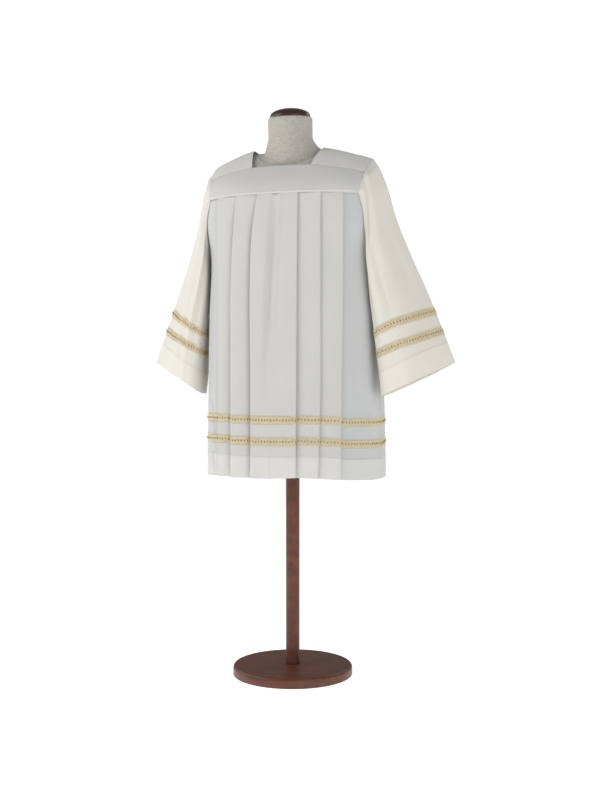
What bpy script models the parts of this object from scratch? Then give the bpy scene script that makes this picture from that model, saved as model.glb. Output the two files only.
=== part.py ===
"""Surplice on a limbless dress form.

Metres, +Z up, the front towards -Y and the wearer's left towards +X. The origin is the centre of the
underside of the round base. Every piece that a maker would cut is a closed wall of cloth of its own, a seam's
gap away from its neighbours. The pleats, the yokes and the armholes all come from one body surface, the
sleeves from rings between the armhole and the cuff, and the trims from the points of the cloth that they lie on.
"""

import math

import bmesh
import bpy
import numpy as np

# Cloth
CLOTH = 0.0016
YOKE_CLOTH = 0.0020
TRIM_CLOTH = 0.0009
SEAM_GAP = 0.0003
TRIM_GAP = 0.0004

# Heights of the body
HEM = 0.560
UNDERARM = 1.165
YOKE_SEAM = 1.310

# Outline of the body's cloth at each height: half_width, then how far the front and the back reach from the
# middle, and the squareness of the oval, where 2 is an ellipse
BODY_COLUMNS = ("height", "half_width", "middle", "front_reach", "back_reach", "squareness")
BODY_SECTIONS = (
    (0.560, 0.249, 0.030, 0.188, 0.180, 2.30),
    (0.800, 0.243, 0.024, 0.172, 0.166, 2.32),
    (1.000, 0.238, 0.018, 0.158, 0.152, 2.35),
    (1.165, 0.236, 0.012, 0.146, 0.140, 2.40),
    (1.240, 0.250, 0.011, 0.141, 0.137, 2.45),
    (1.310, 0.243, 0.010, 0.136, 0.134, 2.50),
)
PANEL_HEIGHTS = (
    0.560, 0.620, 0.660, 0.716, 0.800, 0.900, 1.000, 1.090, 1.165, 1.180, 1.205, 1.240, 1.275, 1.310,
)

# Knife pleats on each side of the centre panel: the distance of each fold from the centre line along the
# cloth, and how far it stands off the cloth behind it
# Columns: at_yoke, at_hem, lift_at_yoke, lift_at_hem
PLEATS = (
    (0.060, 0.064, 0.0056, 0.0085),
    (0.122, 0.129, 0.0056, 0.0078),
    (0.185, 0.188, 0.0056, 0.0070),
)
UNDERLAP = 0.014
SIDE_COLUMNS = 5

# How far the hem hangs lower at the side seams than at the centre
SIDE_SAG = 0.009

# Armhole, yoke and shoulders
ARMHOLE_HALF_DEPTH = 0.083
SHOULDER_TIP = 0.226
RIDGE_MIDDLE = 0.010
RIDGE_HEIGHT = 1.4385
RIDGE_START = 0.090
RIDGE_SLOPE = 0.260
TIP_START = 0.185
TIP_DROP = 2.6
YOKE_ROUNDNESS = 1.45
YOKE_STAND_OFF = 0.0052
FRONT = -1
BACK = 1
NECK_TURN = {FRONT: math.radians(41), BACK: math.radians(58)}
NECK_CORNER = {FRONT: 0.084, BACK: 0.090}
NECK_AT_SHOULDER = 0.101
RIDGE_TURN = math.pi / 2
YOKE_ROWS = 4
SHOULDER_ROWS = 4
YOKE_COLUMNS = 20
SHOULDER_COLUMNS = 5

# Sleeve: the lines of its outer and inner sides, how far it reaches to the front and the back from the middle
# of the two, and the squareness of its outer half, at distances from the cuff
SLEEVE_COLUMNS = (
    "along", "outer_x", "outer_y", "outer_z", "inner_x", "inner_y", "inner_z",
    "front_x", "front_y", "front_z", "back_x", "back_y", "back_z", "outer_squareness",
)
SLEEVE_SECTIONS = (
    (0.000, 0.444, 0.050, 0.862, 0.266, -0.012, 0.774, -0.012, -0.070, 0.000, -0.006, 0.062, -0.005, 1.30),
    (0.200, 0.370, 0.045, 1.048, 0.252, -0.008, 0.962, -0.020, -0.082, 0.000, -0.008, 0.068, -0.006, 1.40),
    (0.300, 0.326, 0.032, 1.150, 0.248, -0.002, 1.040, -0.026, -0.086, 0.000, -0.010, 0.074, -0.004, 1.65),
    (0.380, 0.288, 0.018, 1.250, 0.246, 0.004, 1.102, -0.026, -0.086, 0.000, -0.012, 0.079, 0.000, 2.00),
    (0.430, 0.262, 0.012, 1.338, 0.244, 0.010, 1.138, -0.020, -0.084, 0.000, -0.012, 0.082, 0.000, 2.30),
    (0.460, 0.246, 0.010, 1.379, 0.242, 0.012, 1.156, -0.018, -0.083, 0.000, -0.014, 0.083, 0.000, 2.40),
)
SLEEVE_SQUARENESS = 2.4
SLEEVE_RINGS = (0.460, 0.430, 0.390, 0.340, 0.280, 0.220, 0.168, 0.144, 0.112, 0.088, 0.060, 0.000)

# Gold trims, centred at these distances from the edges of the hem and the cuffs
TRIM_WIDTH = 0.024
TRIMS = (("lower", 0.100), ("upper", 0.156))

# Dress form
FORM_POINTS = 28
# Columns: height, half_width, half_depth, middle
FORM_BODY = (
    (0.800, 0.118, 0.084, 0.012),
    (0.812, 0.148, 0.104, 0.012),
    (0.880, 0.172, 0.118, 0.014),
    (0.960, 0.174, 0.120, 0.016),
    (1.060, 0.158, 0.108, 0.012),
    (1.130, 0.152, 0.103, 0.008),
    (1.210, 0.170, 0.112, 0.006),
    (1.290, 0.192, 0.118, 0.006),
    (1.340, 0.202, 0.110, 0.007),
)
# Columns: half_width, half_depth, middle; the heights follow the shoulder pieces
FORM_SHOULDERS = (
    (0.199, 0.092, 0.010),
    (0.180, 0.084, 0.010),
    (0.145, 0.076, 0.008),
    (0.108, 0.070, 0.003),
    (0.080, 0.066, -0.004),
)
# Columns: height, half_width, half_depth, middle
FORM_NECK = (
    (1.464, 0.062, 0.062, -0.014),
    (1.483, 0.059, 0.059, -0.016),
    (1.518, 0.059, 0.059, -0.018),
    (1.524, 0.0565, 0.0565, -0.018),
)
NECK_LEAN = 0.07
FORM_CLEARANCE = 0.0007
FORM_FALL_AWAY = 0.012
CAP_RADIUS = 0.0545
CAP_EDGE = 0.005
CAP_DOME = 0.021
BASE_RADIUS = 0.165
BASE_THICKNESS = 0.028
BASE_ROUNDING = 0.009
POLE_RADIUS = 0.019
TURNED_SEGMENTS = 40

# Colours and finishes: base colour, roughness and metallic value
MATERIALS = {
    "ivory_cloth": ((0.86, 0.83, 0.76), 0.85, 0.0),
    "gold_trim": ((0.62, 0.48, 0.24), 0.55, 0.2),
    "linen": ((0.72, 0.68, 0.60), 0.90, 0.0),
    "dark_wood": ((0.16, 0.05, 0.025), 0.35, 0.0),
    "red_wood": ((0.30, 0.09, 0.035), 0.35, 0.0),
}


def clear_scene():
    """Removes every object that the file starts with."""
    for item in list(bpy.data.objects):
        bpy.data.objects.remove(item, do_unlink=True)


def make_material(name):
    """One Principled material for each kind of surface."""
    colour, roughness, metallic = MATERIALS[name]
    material = bpy.data.materials.new(name)
    material.use_nodes = True
    surface = material.node_tree.nodes["Principled BSDF"]
    surface.inputs["Base Color"].default_value = (*colour, 1.0)
    surface.inputs["Roughness"].default_value = roughness
    surface.inputs["Metallic"].default_value = metallic
    return material


def unit(vectors):
    """Vectors of length one."""
    vectors = np.asarray(vectors, dtype=float)
    return vectors / np.linalg.norm(vectors, axis=-1, keepdims=True)


def smooth_read(columns, table, key):
    """A row of the table at any key, by a smooth curve through each column."""
    table = np.array(table)
    keys = table[:, 0]
    key = min(max(key, keys[0]), keys[-1])
    slopes = np.gradient(table, keys, axis=0)
    start = min(np.searchsorted(keys, key, side="right") - 1, len(keys) - 2)
    span = keys[start + 1] - keys[start]
    share = (key - keys[start]) / span
    rise = share * share * (3 - 2 * share)
    values = (
        table[start] * (1 - rise)
        + table[start + 1] * rise
        + slopes[start] * span * share * (1 - share) ** 2
        - slopes[start + 1] * span * share * share * (1 - share)
    )
    return dict(zip(columns, values))


def make_object(name, points, faces, material, smooth_angle=40):
    """A closed body from points and faces, with its faces turned outwards."""
    mesh = bpy.data.meshes.new(name)
    mesh.from_pydata([tuple(map(float, point)) for point in points], [], faces)
    work = bmesh.new()
    work.from_mesh(mesh)
    bmesh.ops.recalc_face_normals(work, faces=work.faces[:])
    if work.calc_volume(signed=True) < 0:
        bmesh.ops.reverse_faces(work, faces=work.faces[:])
    work.to_mesh(mesh)
    work.free()
    mesh.shade_smooth()
    mesh.set_sharp_from_angle(angle=math.radians(smooth_angle))
    mesh.materials.append(material)
    item = bpy.data.objects.new(name, mesh)
    bpy.context.scene.collection.objects.link(item)
    return item


def make_wall(name, outer, inner, material, round_tube=False):
    """A closed wall between two grids of points, rows by columns.

    A round tube joins its last column to its first.
    """
    outer = np.asarray(outer)
    inner = np.asarray(inner)
    rows, columns = outer.shape[:2]
    points = np.concatenate([outer.reshape(-1, 3), inner.reshape(-1, 3)])
    inner_start = rows * columns

    def corner(row, column, layer):
        return layer * inner_start + row * columns + column % columns

    def add_quad(faces, first, second, third, fourth):
        faces.append((first, second, third))
        faces.append((first, third, fourth))

    faces = []
    for row in range(rows - 1):
        for column in range(columns if round_tube else columns - 1):
            for layer in (0, 1):
                square = (
                    corner(row, column, layer),
                    corner(row, column + 1, layer),
                    corner(row + 1, column + 1, layer),
                    corner(row + 1, column, layer),
                )
                add_quad(faces, *square)
    for row in (0, rows - 1):
        for column in range(columns if round_tube else columns - 1):
            square = (
                corner(row, column, 0),
                corner(row, column + 1, 0),
                corner(row, column + 1, 1),
                corner(row, column, 1),
            )
            add_quad(faces, *square)
    if not round_tube:
        for column in (0, columns - 1):
            for row in range(rows - 1):
                square = (
                    corner(row, column, 0),
                    corner(row + 1, column, 0),
                    corner(row + 1, column, 1),
                    corner(row, column, 1),
                )
                add_quad(faces, *square)
    return make_object(name, points, faces, material)


def make_turned(name, profile, material, middle=0.0, lean=0.0):
    """A solid turned about a vertical axis, from a profile of (radius, height).

    The profile starts and ends on the axis. A lean makes the solid lower in front of its middle and higher behind.
    """
    points = [(0.0, middle, profile[0][1])]
    for radius, height in profile[1:-1]:
        for step in range(TURNED_SEGMENTS):
            angle = 2 * math.pi * step / TURNED_SEGMENTS
            depth = radius * math.sin(angle)
            points.append((radius * math.cos(angle), middle + depth, height + lean * depth))
    points.append((0.0, middle, profile[-1][1]))
    rings = len(profile) - 2
    faces = ring_faces(rings, TURNED_SEGMENTS)
    return make_object(name, points, faces, material)


def ring_faces(rings, around):
    """Faces of a closed stack of rings, with one point under the first ring and one over the last."""
    faces = []
    top = 1 + rings * around
    for column in range(around):
        beside = (column + 1) % around
        faces.append((0, 1 + beside, 1 + column))
        for ring in range(rings - 1):
            low = 1 + ring * around
            high = low + around
            faces.append((low + column, low + beside, high + beside, high + column))
        last = 1 + (rings - 1) * around
        faces.append((last + column, last + beside, top))
    return faces


# Body surface

def half_outline(height, facing):
    """The body's outline at a height, from the centre line of the front or back to the side."""
    row = smooth_read(BODY_COLUMNS, BODY_SECTIONS, height)
    reach = row["front_reach"] if facing == FRONT else row["back_reach"]
    turn = np.linspace(0, math.pi / 2, 160)
    power = 2 / row["squareness"]
    x = row["half_width"] * np.sin(turn) ** power
    y = row["middle"] + facing * reach * np.cos(turn) ** power
    distance = np.concatenate([[0], np.cumsum(np.hypot(np.diff(x), np.diff(y)))])
    return row, reach, x, y, distance


def body_points(height, facing, across, out):
    """Points on the body at distances across it from the centre line and out from its surface."""
    row, reach, x, y, distance = half_outline(height, facing)
    across = np.asarray(across, dtype=float)
    side = np.where(across < 0, -1.0, 1.0)
    point_x = np.interp(np.abs(across), distance, x)
    point_y = np.interp(np.abs(across), distance, y)
    lean = row["squareness"] - 1
    normal_x = (point_x / row["half_width"]) ** lean / row["half_width"]
    normal_y = facing * (np.abs(point_y - row["middle"]) / reach) ** lean / reach
    length = np.hypot(normal_x, normal_y)
    point_x = side * (point_x + out * normal_x / length)
    point_y = point_y + out * normal_y / length
    down = SIDE_SAG * (YOKE_SEAM - height) / (YOKE_SEAM - HEM)
    sag = down * np.minimum(1.0, np.abs(across) / distance[-1]) ** 2
    return np.stack([point_x, point_y, height - sag], axis=-1)


def panel_reach(height, facing):
    """The distance from the centre line to a panel's edge: the side seam, or the armhole over the underarm."""
    row, _, _, y, distance = half_outline(height, facing)
    if height <= UNDERARM:
        return distance[-1]
    drop = min(1.0, (YOKE_SEAM - height) / (YOKE_SEAM - UNDERARM))
    edge = ARMHOLE_HALF_DEPTH * math.sqrt(1 - drop * drop)
    return np.interp(-edge, -np.abs(y - row["middle"]), distance)


def pleat_line(height, facing, folded):
    """The middle of the cloth across half a panel, as (across, out) from the centre to the edge.

    A folded line goes in under each pleat. Without folds it drops from each pleat's edge straight to the next
    panel, as a trim does.
    """
    up = (height - HEM) / (YOKE_SEAM - HEM)
    edges = [pleat[0] * up + pleat[1] * (1 - up) for pleat in PLEATS]
    lifts = [pleat[2] * up + pleat[3] * (1 - up) for pleat in PLEATS]
    line = [(0.0, lifts[0])]
    for number, (edge, lift) in enumerate(zip(edges, lifts)):
        line.append((edge - 0.004, lift))
        line.append((edge, lift))
        if folded:
            line.append((edge, lift / 2))
            line.append((edge - UNDERLAP, lift / 2))
            line.append((edge - UNDERLAP, 0.0))
        line.append((edge, 0.0))
        if number + 1 < len(edges):
            line.append(((edge + edges[number + 1]) / 2, 0.55 * lifts[number + 1]))
    reach = panel_reach(height, facing) - SEAM_GAP / 2
    for step in range(1, SIDE_COLUMNS + 1):
        line.append((edges[-1] + (reach - edges[-1]) * step / SIDE_COLUMNS, 0.0))
    return np.array(line)


def whole_line(half):
    """A line across a whole panel, from the right edge to the left."""
    mirrored = half[:0:-1] * np.array([-1.0, 1.0])
    return np.concatenate([mirrored, half])


def move_line(line, distance):
    """A line of (across, out) moved outwards, with mitred corners."""
    steps = unit(np.diff(line, axis=0))
    sides = np.stack([-steps[:, 1], steps[:, 0]], axis=-1)
    before = np.concatenate([sides[:1], sides])
    after = np.concatenate([sides, sides[-1:]])
    mitre = (before + after) / (1 + np.sum(before * after, axis=-1, keepdims=True))
    return line + distance * mitre


def panel_rows(heights, facing, folded, distance):
    """Rows of points across a panel, moved out from the middle of its cloth."""
    rows = []
    for height in heights:
        line = move_line(whole_line(pleat_line(height, facing, folded)), distance)
        rows.append(body_points(height, facing, line[:, 0], line[:, 1]))
    return np.array(rows)


def make_panel(name, facing, material):
    """A pleated panel from the hem to the yoke's seam."""
    heights = list(PANEL_HEIGHTS[:-1]) + [YOKE_SEAM - SEAM_GAP]
    outer = panel_rows(heights, facing, True, CLOTH / 2)
    inner = panel_rows(heights, facing, True, -CLOTH / 2)
    return make_wall(name, outer, inner, material)


def make_body_trim(name, facing, above_hem, material):
    """A trim across a panel, over the edges of the pleats."""
    middle = HEM + above_hem
    heights = (middle - TRIM_WIDTH / 2, middle, middle + TRIM_WIDTH / 2)
    inside = CLOTH / 2 + TRIM_GAP
    inner = panel_rows(heights, facing, False, inside)
    outer = panel_rows(heights, facing, False, inside + TRIM_CLOTH)
    return make_wall(name, outer, inner, material)


# Yoke and shoulders

def ridge_height(x):
    """The height of the shoulder line at a distance from the middle."""
    tip = TIP_DROP * max(0.0, abs(x) - TIP_START) ** 2
    return RIDGE_HEIGHT - RIDGE_SLOPE * max(0.0, abs(x) - RIDGE_START) - tip


def ridge_slope(x):
    """How steeply the shoulder line falls at a distance from the middle, outside the neck."""
    return RIDGE_SLOPE + 2 * TIP_DROP * max(0.0, abs(x) - TIP_START)


def seam_depth(x, facing):
    """How far the body reaches to the front or back of the ridge at the yoke's seam."""
    row, reach, _, _, _ = half_outline(YOKE_SEAM, facing)
    share = min(1.0, abs(x) / row["half_width"])
    y = row["middle"] + facing * reach * (1 - share ** row["squareness"]) ** (1 / row["squareness"])
    return y - RIDGE_MIDDLE


def yoke_base(x, turn, facing):
    """A point on the yoke's surface, turned up from the seam (0) to the shoulder line (a right angle)."""
    power = 2 / YOKE_ROUNDNESS
    y = RIDGE_MIDDLE + seam_depth(x, facing) * max(0.0, math.cos(turn)) ** power
    z = YOKE_SEAM + (ridge_height(x) - YOKE_SEAM) * math.sin(turn) ** power
    return np.array([x, y, z])


def yoke_normal(x, turn, facing):
    """The outward direction of the yoke's surface."""
    step = 0.004
    turn = min(turn, RIDGE_TURN)
    if turn > RIDGE_TURN - 1e-6:
        return unit([math.copysign(ridge_slope(x), x), 0.0, 1.0])
    turn = max(turn, step)
    along_x = yoke_base(x + step, turn, facing) - yoke_base(x - step, turn, facing)
    along_turn = yoke_base(x, turn + step, facing) - yoke_base(x, turn - step, facing)
    normal = unit(np.cross(along_x, along_turn))
    return normal if normal[1] * facing >= 0 else -normal


def yoke_point(x, turn, facing, out):
    """A point of the yoke moved out from its surface."""
    return yoke_base(x, turn, facing) + out * yoke_normal(x, turn, facing)


def armhole_width(turn, facing):
    """Half the distance between the armholes along the yoke and the shoulders."""
    at_seam = body_points(YOKE_SEAM, facing, [panel_reach(YOKE_SEAM, facing)], 0.0)[0][0]
    return at_seam + (SHOULDER_TIP - at_seam) * math.sin(turn) ** 2


def neck_width(turn, facing):
    """Half the width of the neck opening along the inner edges of the shoulder pieces."""
    up = (turn - NECK_TURN[facing]) / (RIDGE_TURN - NECK_TURN[facing])
    return NECK_CORNER[facing] + (NECK_AT_SHOULDER - NECK_CORNER[facing]) * up


def yoke_turns(facing):
    """The rows of a yoke between its seam and the neck's edge."""
    return np.linspace(0, NECK_TURN[facing], YOKE_ROWS + 1)


def shoulder_turns(facing):
    """The rows of a shoulder piece between the yoke and the shoulder line."""
    return np.linspace(NECK_TURN[facing], RIDGE_TURN, SHOULDER_ROWS + 1)


def make_yoke(name, facing, material):
    """The band across the chest or the back, between the pleats and the neck."""
    layers = []
    for out in (YOKE_STAND_OFF + YOKE_CLOTH / 2, YOKE_STAND_OFF - YOKE_CLOTH / 2):
        rows = []
        for turn in yoke_turns(facing):
            reach = armhole_width(turn, facing)
            rows.append([
                yoke_point(x, turn, facing, out) for x in np.linspace(-reach, reach, YOKE_COLUMNS + 1)
            ])
        layers.append(np.array(rows))
    return make_wall(name, layers[0], layers[1], material)


def make_shoulder(name, side, material):
    """The piece over one shoulder, from the front yoke to the back yoke."""
    route = [(turn, FRONT) for turn in shoulder_turns(FRONT)]
    route += [(turn, BACK) for turn in shoulder_turns(BACK)[-2::-1]]
    seam_turn = SEAM_GAP / 0.12
    route[0] = (route[0][0] + seam_turn, FRONT)
    route[-1] = (route[-1][0] + seam_turn, BACK)
    layers = []
    for out in (YOKE_STAND_OFF + YOKE_CLOTH / 2, YOKE_STAND_OFF - YOKE_CLOTH / 2):
        rows = []
        for turn, facing in route:
            widths = np.linspace(neck_width(turn, facing), armhole_width(turn, facing), SHOULDER_COLUMNS + 1)
            rows.append([yoke_point(side * x, turn, facing, out) for x in widths])
        layers.append(np.array(rows))
    return make_wall(name, layers[0], layers[1], material)


# Armhole and sleeve

def armhole_half(facing):
    """Points and outward directions of half the armhole, from the shoulder tip down to the underarm."""
    points = []
    normals = []
    turns = list(shoulder_turns(facing)[::-1]) + list(yoke_turns(facing)[-2::-1])
    for turn in turns:
        x = armhole_width(turn, facing)
        points.append(yoke_point(x, turn, facing, YOKE_STAND_OFF + YOKE_CLOTH / 2))
        normals.append(yoke_normal(x, turn, facing))
    for height in [h for h in PANEL_HEIGHTS[::-1] if UNDERARM <= h < YOKE_SEAM]:
        reach = panel_reach(height, facing)
        near, far = body_points(height, facing, [reach, reach], np.array([CLOTH / 2, 1.0]))
        points.append(near)
        normals.append(unit(far - near))
    return np.array(points), np.array(normals)


def armhole_ring():
    """The armhole's points, outward directions, directions into the hole and angles around the sleeve."""
    front_points, front_normals = armhole_half(FRONT)
    back_points, back_normals = armhole_half(BACK)
    points = np.concatenate([front_points, back_points[-2:0:-1]])
    normals = np.concatenate([front_normals, back_normals[-2:0:-1]])
    tangents = unit(np.roll(points, -1, axis=0) - np.roll(points, 1, axis=0))
    into_hole = unit(np.cross(tangents, normals))
    middle = points.mean(axis=0)
    towards_middle = np.sum(into_hole * (middle - points), axis=-1, keepdims=True)
    into_hole = np.where(towards_middle < 0, -into_hole, into_hole)
    angles = []
    for half in (front_points, back_points):
        lengths = np.linalg.norm(np.diff(half, axis=0), axis=-1)
        angles.append(np.concatenate([[0], np.cumsum(lengths)]) / lengths.sum() * math.pi)
    around = np.concatenate([angles[0], 2 * math.pi - angles[1][-2:0:-1]])
    return points, normals, into_hole, around


def sleeve_ring(along, around):
    """A ring of the sleeve at a distance from the cuff, on the wearer's left."""
    row = smooth_read(SLEEVE_COLUMNS, SLEEVE_SECTIONS, along)
    outer = np.array([row["outer_x"], row["outer_y"], row["outer_z"]])
    inner = np.array([row["inner_x"], row["inner_y"], row["inner_z"]])
    front = np.array([row["front_x"], row["front_y"], row["front_z"]])
    back = np.array([row["back_x"], row["back_y"], row["back_z"]])
    points = []
    for angle in around:
        power = 2 / (row["outer_squareness"] if math.cos(angle) > 0 else SLEEVE_SQUARENESS)
        outwards = math.copysign(abs(math.cos(angle)) ** power, math.cos(angle))
        forwards = abs(math.sin(angle)) ** power
        towards = front if math.sin(angle) >= 0 else back
        points.append((outer + inner) / 2 + (outer - inner) / 2 * outwards + towards * forwards)
    return np.array(points)


def ring_normals(below, ring, above):
    """Outward directions of a ring of points between its neighbours."""
    around = np.roll(ring, -1, axis=0) - np.roll(ring, 1, axis=0)
    normals = unit(np.cross(around, above - below))
    outwards = np.sum(normals * (ring - ring.mean(axis=0)), axis=-1).sum()
    return normals if outwards > 0 else -normals


def make_sleeve(name, side, material):
    """A hollow sleeve from the armhole to the open cuff."""
    points, normals, into_hole, around = armhole_ring()
    rings = [sleeve_ring(along, around) for along in SLEEVE_RINGS]
    leaving = unit(rings[0] - points)
    slant = np.arctan2(np.sum(leaving * normals, axis=-1), np.sum(leaving * into_hole, axis=-1))
    slant = np.clip(slant, 0, math.pi / 2)[:, None]
    inwards = into_hole * np.sin(slant) - normals * np.cos(slant)
    seam_ring = points + SEAM_GAP * 1.3 * into_hole + SEAM_GAP * np.sin(slant) * normals
    outer = [seam_ring]
    inner = [seam_ring + CLOTH * inwards]
    for number, ring in enumerate(rings):
        before = rings[number - 1] if number else seam_ring
        after = rings[min(number + 1, len(rings) - 1)]
        outer.append(ring)
        inner.append(ring - CLOTH * ring_normals(before, ring, after))
    flip = np.array([side, 1.0, 1.0])
    return make_wall(name, np.array(outer) * flip, np.array(inner) * flip, material, round_tube=True)


def make_sleeve_trim(name, side, above_cuff, material):
    """A trim around a sleeve, made from the sleeve's own points."""
    around = armhole_ring()[3]
    low, middle, high = (
        sleeve_ring(above_cuff + shift, around) for shift in (-TRIM_WIDTH / 2, 0.0, TRIM_WIDTH / 2)
    )
    normals = ring_normals(low, middle, high)
    flip = np.array([side, 1.0, 1.0])
    inner = np.array([high + TRIM_GAP * normals, low + TRIM_GAP * normals]) * flip
    outside = TRIM_GAP + TRIM_CLOTH
    outer = np.array([high + outside * normals, low + outside * normals]) * flip
    return make_wall(name, outer, inner, material, round_tube=True)


# Dress form

def form_ring(half_width, half_depth, middle, height=None, lean=0.0):
    """A ring of the form: at a height, leaning or level, or lying just under the cloth of the shoulders."""
    points = []
    for step in range(FORM_POINTS):
        angle = 2 * math.pi * step / FORM_POINTS
        x = half_width * math.cos(angle)
        y = middle + half_depth * math.sin(angle)
        points.append((x, y, height + lean * (y - middle) if height is not None else under_shoulder(x, y)))
    return points


def under_shoulder(x, y):
    """The form's height just under the shoulder pieces, falling away from them to the front and back."""
    facing = FRONT if y < RIDGE_MIDDLE else BACK
    away = min(1.0, abs(y - RIDGE_MIDDLE) / abs(seam_depth(x, facing)))
    rise = (1 - away ** YOKE_ROUNDNESS) ** (1 / YOKE_ROUNDNESS)
    cloth = YOKE_SEAM + (ridge_height(x) - YOKE_SEAM) * rise
    return cloth + YOKE_STAND_OFF - YOKE_CLOTH / 2 - FORM_CLEARANCE - FORM_FALL_AWAY * away


def make_torso(material):
    """The padded torso and neck, in one body, with a flat underside."""
    rings = [form_ring(width, depth, middle, height) for height, width, depth, middle in FORM_BODY]
    rings += [form_ring(width, depth, middle) for width, depth, middle in FORM_SHOULDERS]
    for height, width, depth, middle in FORM_NECK:
        rings.append(form_ring(width, depth, middle, height, NECK_LEAN))
    low_height, _, _, low_middle = FORM_BODY[0]
    top_height, _, _, top_middle = FORM_NECK[-1]
    points = [(0.0, low_middle, low_height)]
    for ring in rings:
        points += ring
    points.append((0.0, top_middle, top_height))
    return make_object("form_torso", points, ring_faces(len(rings), FORM_POINTS), material, smooth_angle=50)


def make_cap(material):
    """The turned and domed wooden cap on the neck."""
    neck_top, _, _, neck_middle = FORM_NECK[-1]
    low = neck_top + SEAM_GAP
    profile = [(0.0, low), (CAP_RADIUS, low), (CAP_RADIUS + 0.0005, low + CAP_EDGE)]
    for step in range(1, 5):
        angle = step * math.pi / 10
        profile.append((CAP_RADIUS * math.cos(angle), low + CAP_EDGE + CAP_DOME * math.sin(angle)))
    profile.append((0.0, low + CAP_EDGE + CAP_DOME))
    return make_turned("form_cap", profile, material, middle=neck_middle, lean=NECK_LEAN)


def make_base(material):
    """The round wooden foot, with a rounded upper edge."""
    profile = [(0.0, 0.0), (BASE_RADIUS - 0.002, 0.0), (BASE_RADIUS, 0.002)]
    for step in range(4):
        angle = step * math.pi / 6
        profile.append((
            BASE_RADIUS - BASE_ROUNDING * (1 - math.cos(angle)),
            BASE_THICKNESS - BASE_ROUNDING * (1 - math.sin(angle)),
        ))
    profile.append((0.0, BASE_THICKNESS))
    return make_turned("form_base", profile, material)


def make_pole(material):
    """The pole between the base and the torso."""
    low = BASE_THICKNESS + SEAM_GAP
    high = FORM_BODY[0][0] - SEAM_GAP
    profile = [(0.0, low), (POLE_RADIUS, low), (POLE_RADIUS, high), (0.0, high)]
    return make_turned("form_pole", profile, material)


def build():
    """The whole part."""
    clear_scene()
    materials = {name: make_material(name) for name in MATERIALS}
    cloth = materials["ivory_cloth"]
    gold = materials["gold_trim"]
    for label, facing in (("front", FRONT), ("back", BACK)):
        make_panel(f"{label}_panel", facing, cloth)
        make_yoke(f"{label}_yoke", facing, cloth)
        for level, above_hem in TRIMS:
            make_body_trim(f"trim_{label}_{level}", facing, above_hem, gold)
    for label, side in (("left", 1), ("right", -1)):
        make_shoulder(f"shoulder_{label}", side, cloth)
        make_sleeve(f"sleeve_{label}", side, cloth)
        for level, above_cuff in TRIMS:
            make_sleeve_trim(f"trim_sleeve_{label}_{level}", side, above_cuff, gold)
    make_torso(materials["linen"])
    make_cap(materials["dark_wood"])
    make_pole(materials["red_wood"])
    make_base(materials["red_wood"])


build()
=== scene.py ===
"""Looks of a pleated surplice on a limbless dress form.

Metres, +Z up, the front towards -Y, the wearer's left towards +X. Each cloth piece is a thin shell on the
form of its solid in the frame, with rounded pleats and creases. The gold trims are plaited cords
and looped edges on a woven ground, laid along the panels and around the sleeves.
"""

import math
from functools import partial

import bpy
import numpy as np
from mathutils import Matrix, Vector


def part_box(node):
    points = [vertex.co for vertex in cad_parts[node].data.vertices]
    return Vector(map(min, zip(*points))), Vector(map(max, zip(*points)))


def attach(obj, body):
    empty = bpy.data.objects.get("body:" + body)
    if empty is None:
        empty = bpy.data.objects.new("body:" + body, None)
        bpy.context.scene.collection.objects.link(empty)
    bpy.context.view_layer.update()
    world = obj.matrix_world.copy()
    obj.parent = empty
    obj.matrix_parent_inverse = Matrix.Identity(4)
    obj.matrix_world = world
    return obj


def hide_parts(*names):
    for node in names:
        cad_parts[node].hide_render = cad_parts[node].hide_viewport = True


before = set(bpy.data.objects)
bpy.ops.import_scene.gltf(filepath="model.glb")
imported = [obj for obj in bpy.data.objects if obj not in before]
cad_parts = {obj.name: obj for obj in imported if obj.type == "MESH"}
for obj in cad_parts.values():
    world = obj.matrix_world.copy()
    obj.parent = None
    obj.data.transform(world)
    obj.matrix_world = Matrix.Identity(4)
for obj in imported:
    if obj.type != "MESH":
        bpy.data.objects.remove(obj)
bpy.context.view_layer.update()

FRONT = -1
BACK = 1

# Cloth
CLOTH = 0.0012
YOKE_CLOTH = 0.0018
SEAM_GAP = 0.0003
TURN_UP = 0.060
TURN_UP_STEP = 0.0005
# Half the height over which a turn-up's step rises, and how far above an edge the next row of points is
TURN_UP_BEVEL = 0.0006
EDGE_ROW = 0.0015

# Heights of the body: the hem on the centre line, the yoke's seam and the underarm
HEM = 0.560
YOKE_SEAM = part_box("front_panel")[1].z + SEAM_GAP
UNDERARM = 1.165
SIDE_SAG = 0.009

# Outline of the body's cloth at each height
BODY_COLUMNS = ("height", "half_width", "middle", "front_reach", "back_reach", "squareness")
BODY_SECTIONS = (
    (0.560, 0.249, 0.030, 0.188, 0.180, 2.30),
    (0.800, 0.243, 0.024, 0.172, 0.166, 2.32),
    (1.000, 0.238, 0.018, 0.158, 0.152, 2.35),
    (1.165, 0.236, 0.012, 0.146, 0.140, 2.40),
    (1.240, 0.250, 0.011, 0.141, 0.137, 2.45),
    (1.310, 0.243, 0.010, 0.136, 0.134, 2.50),
)

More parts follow.
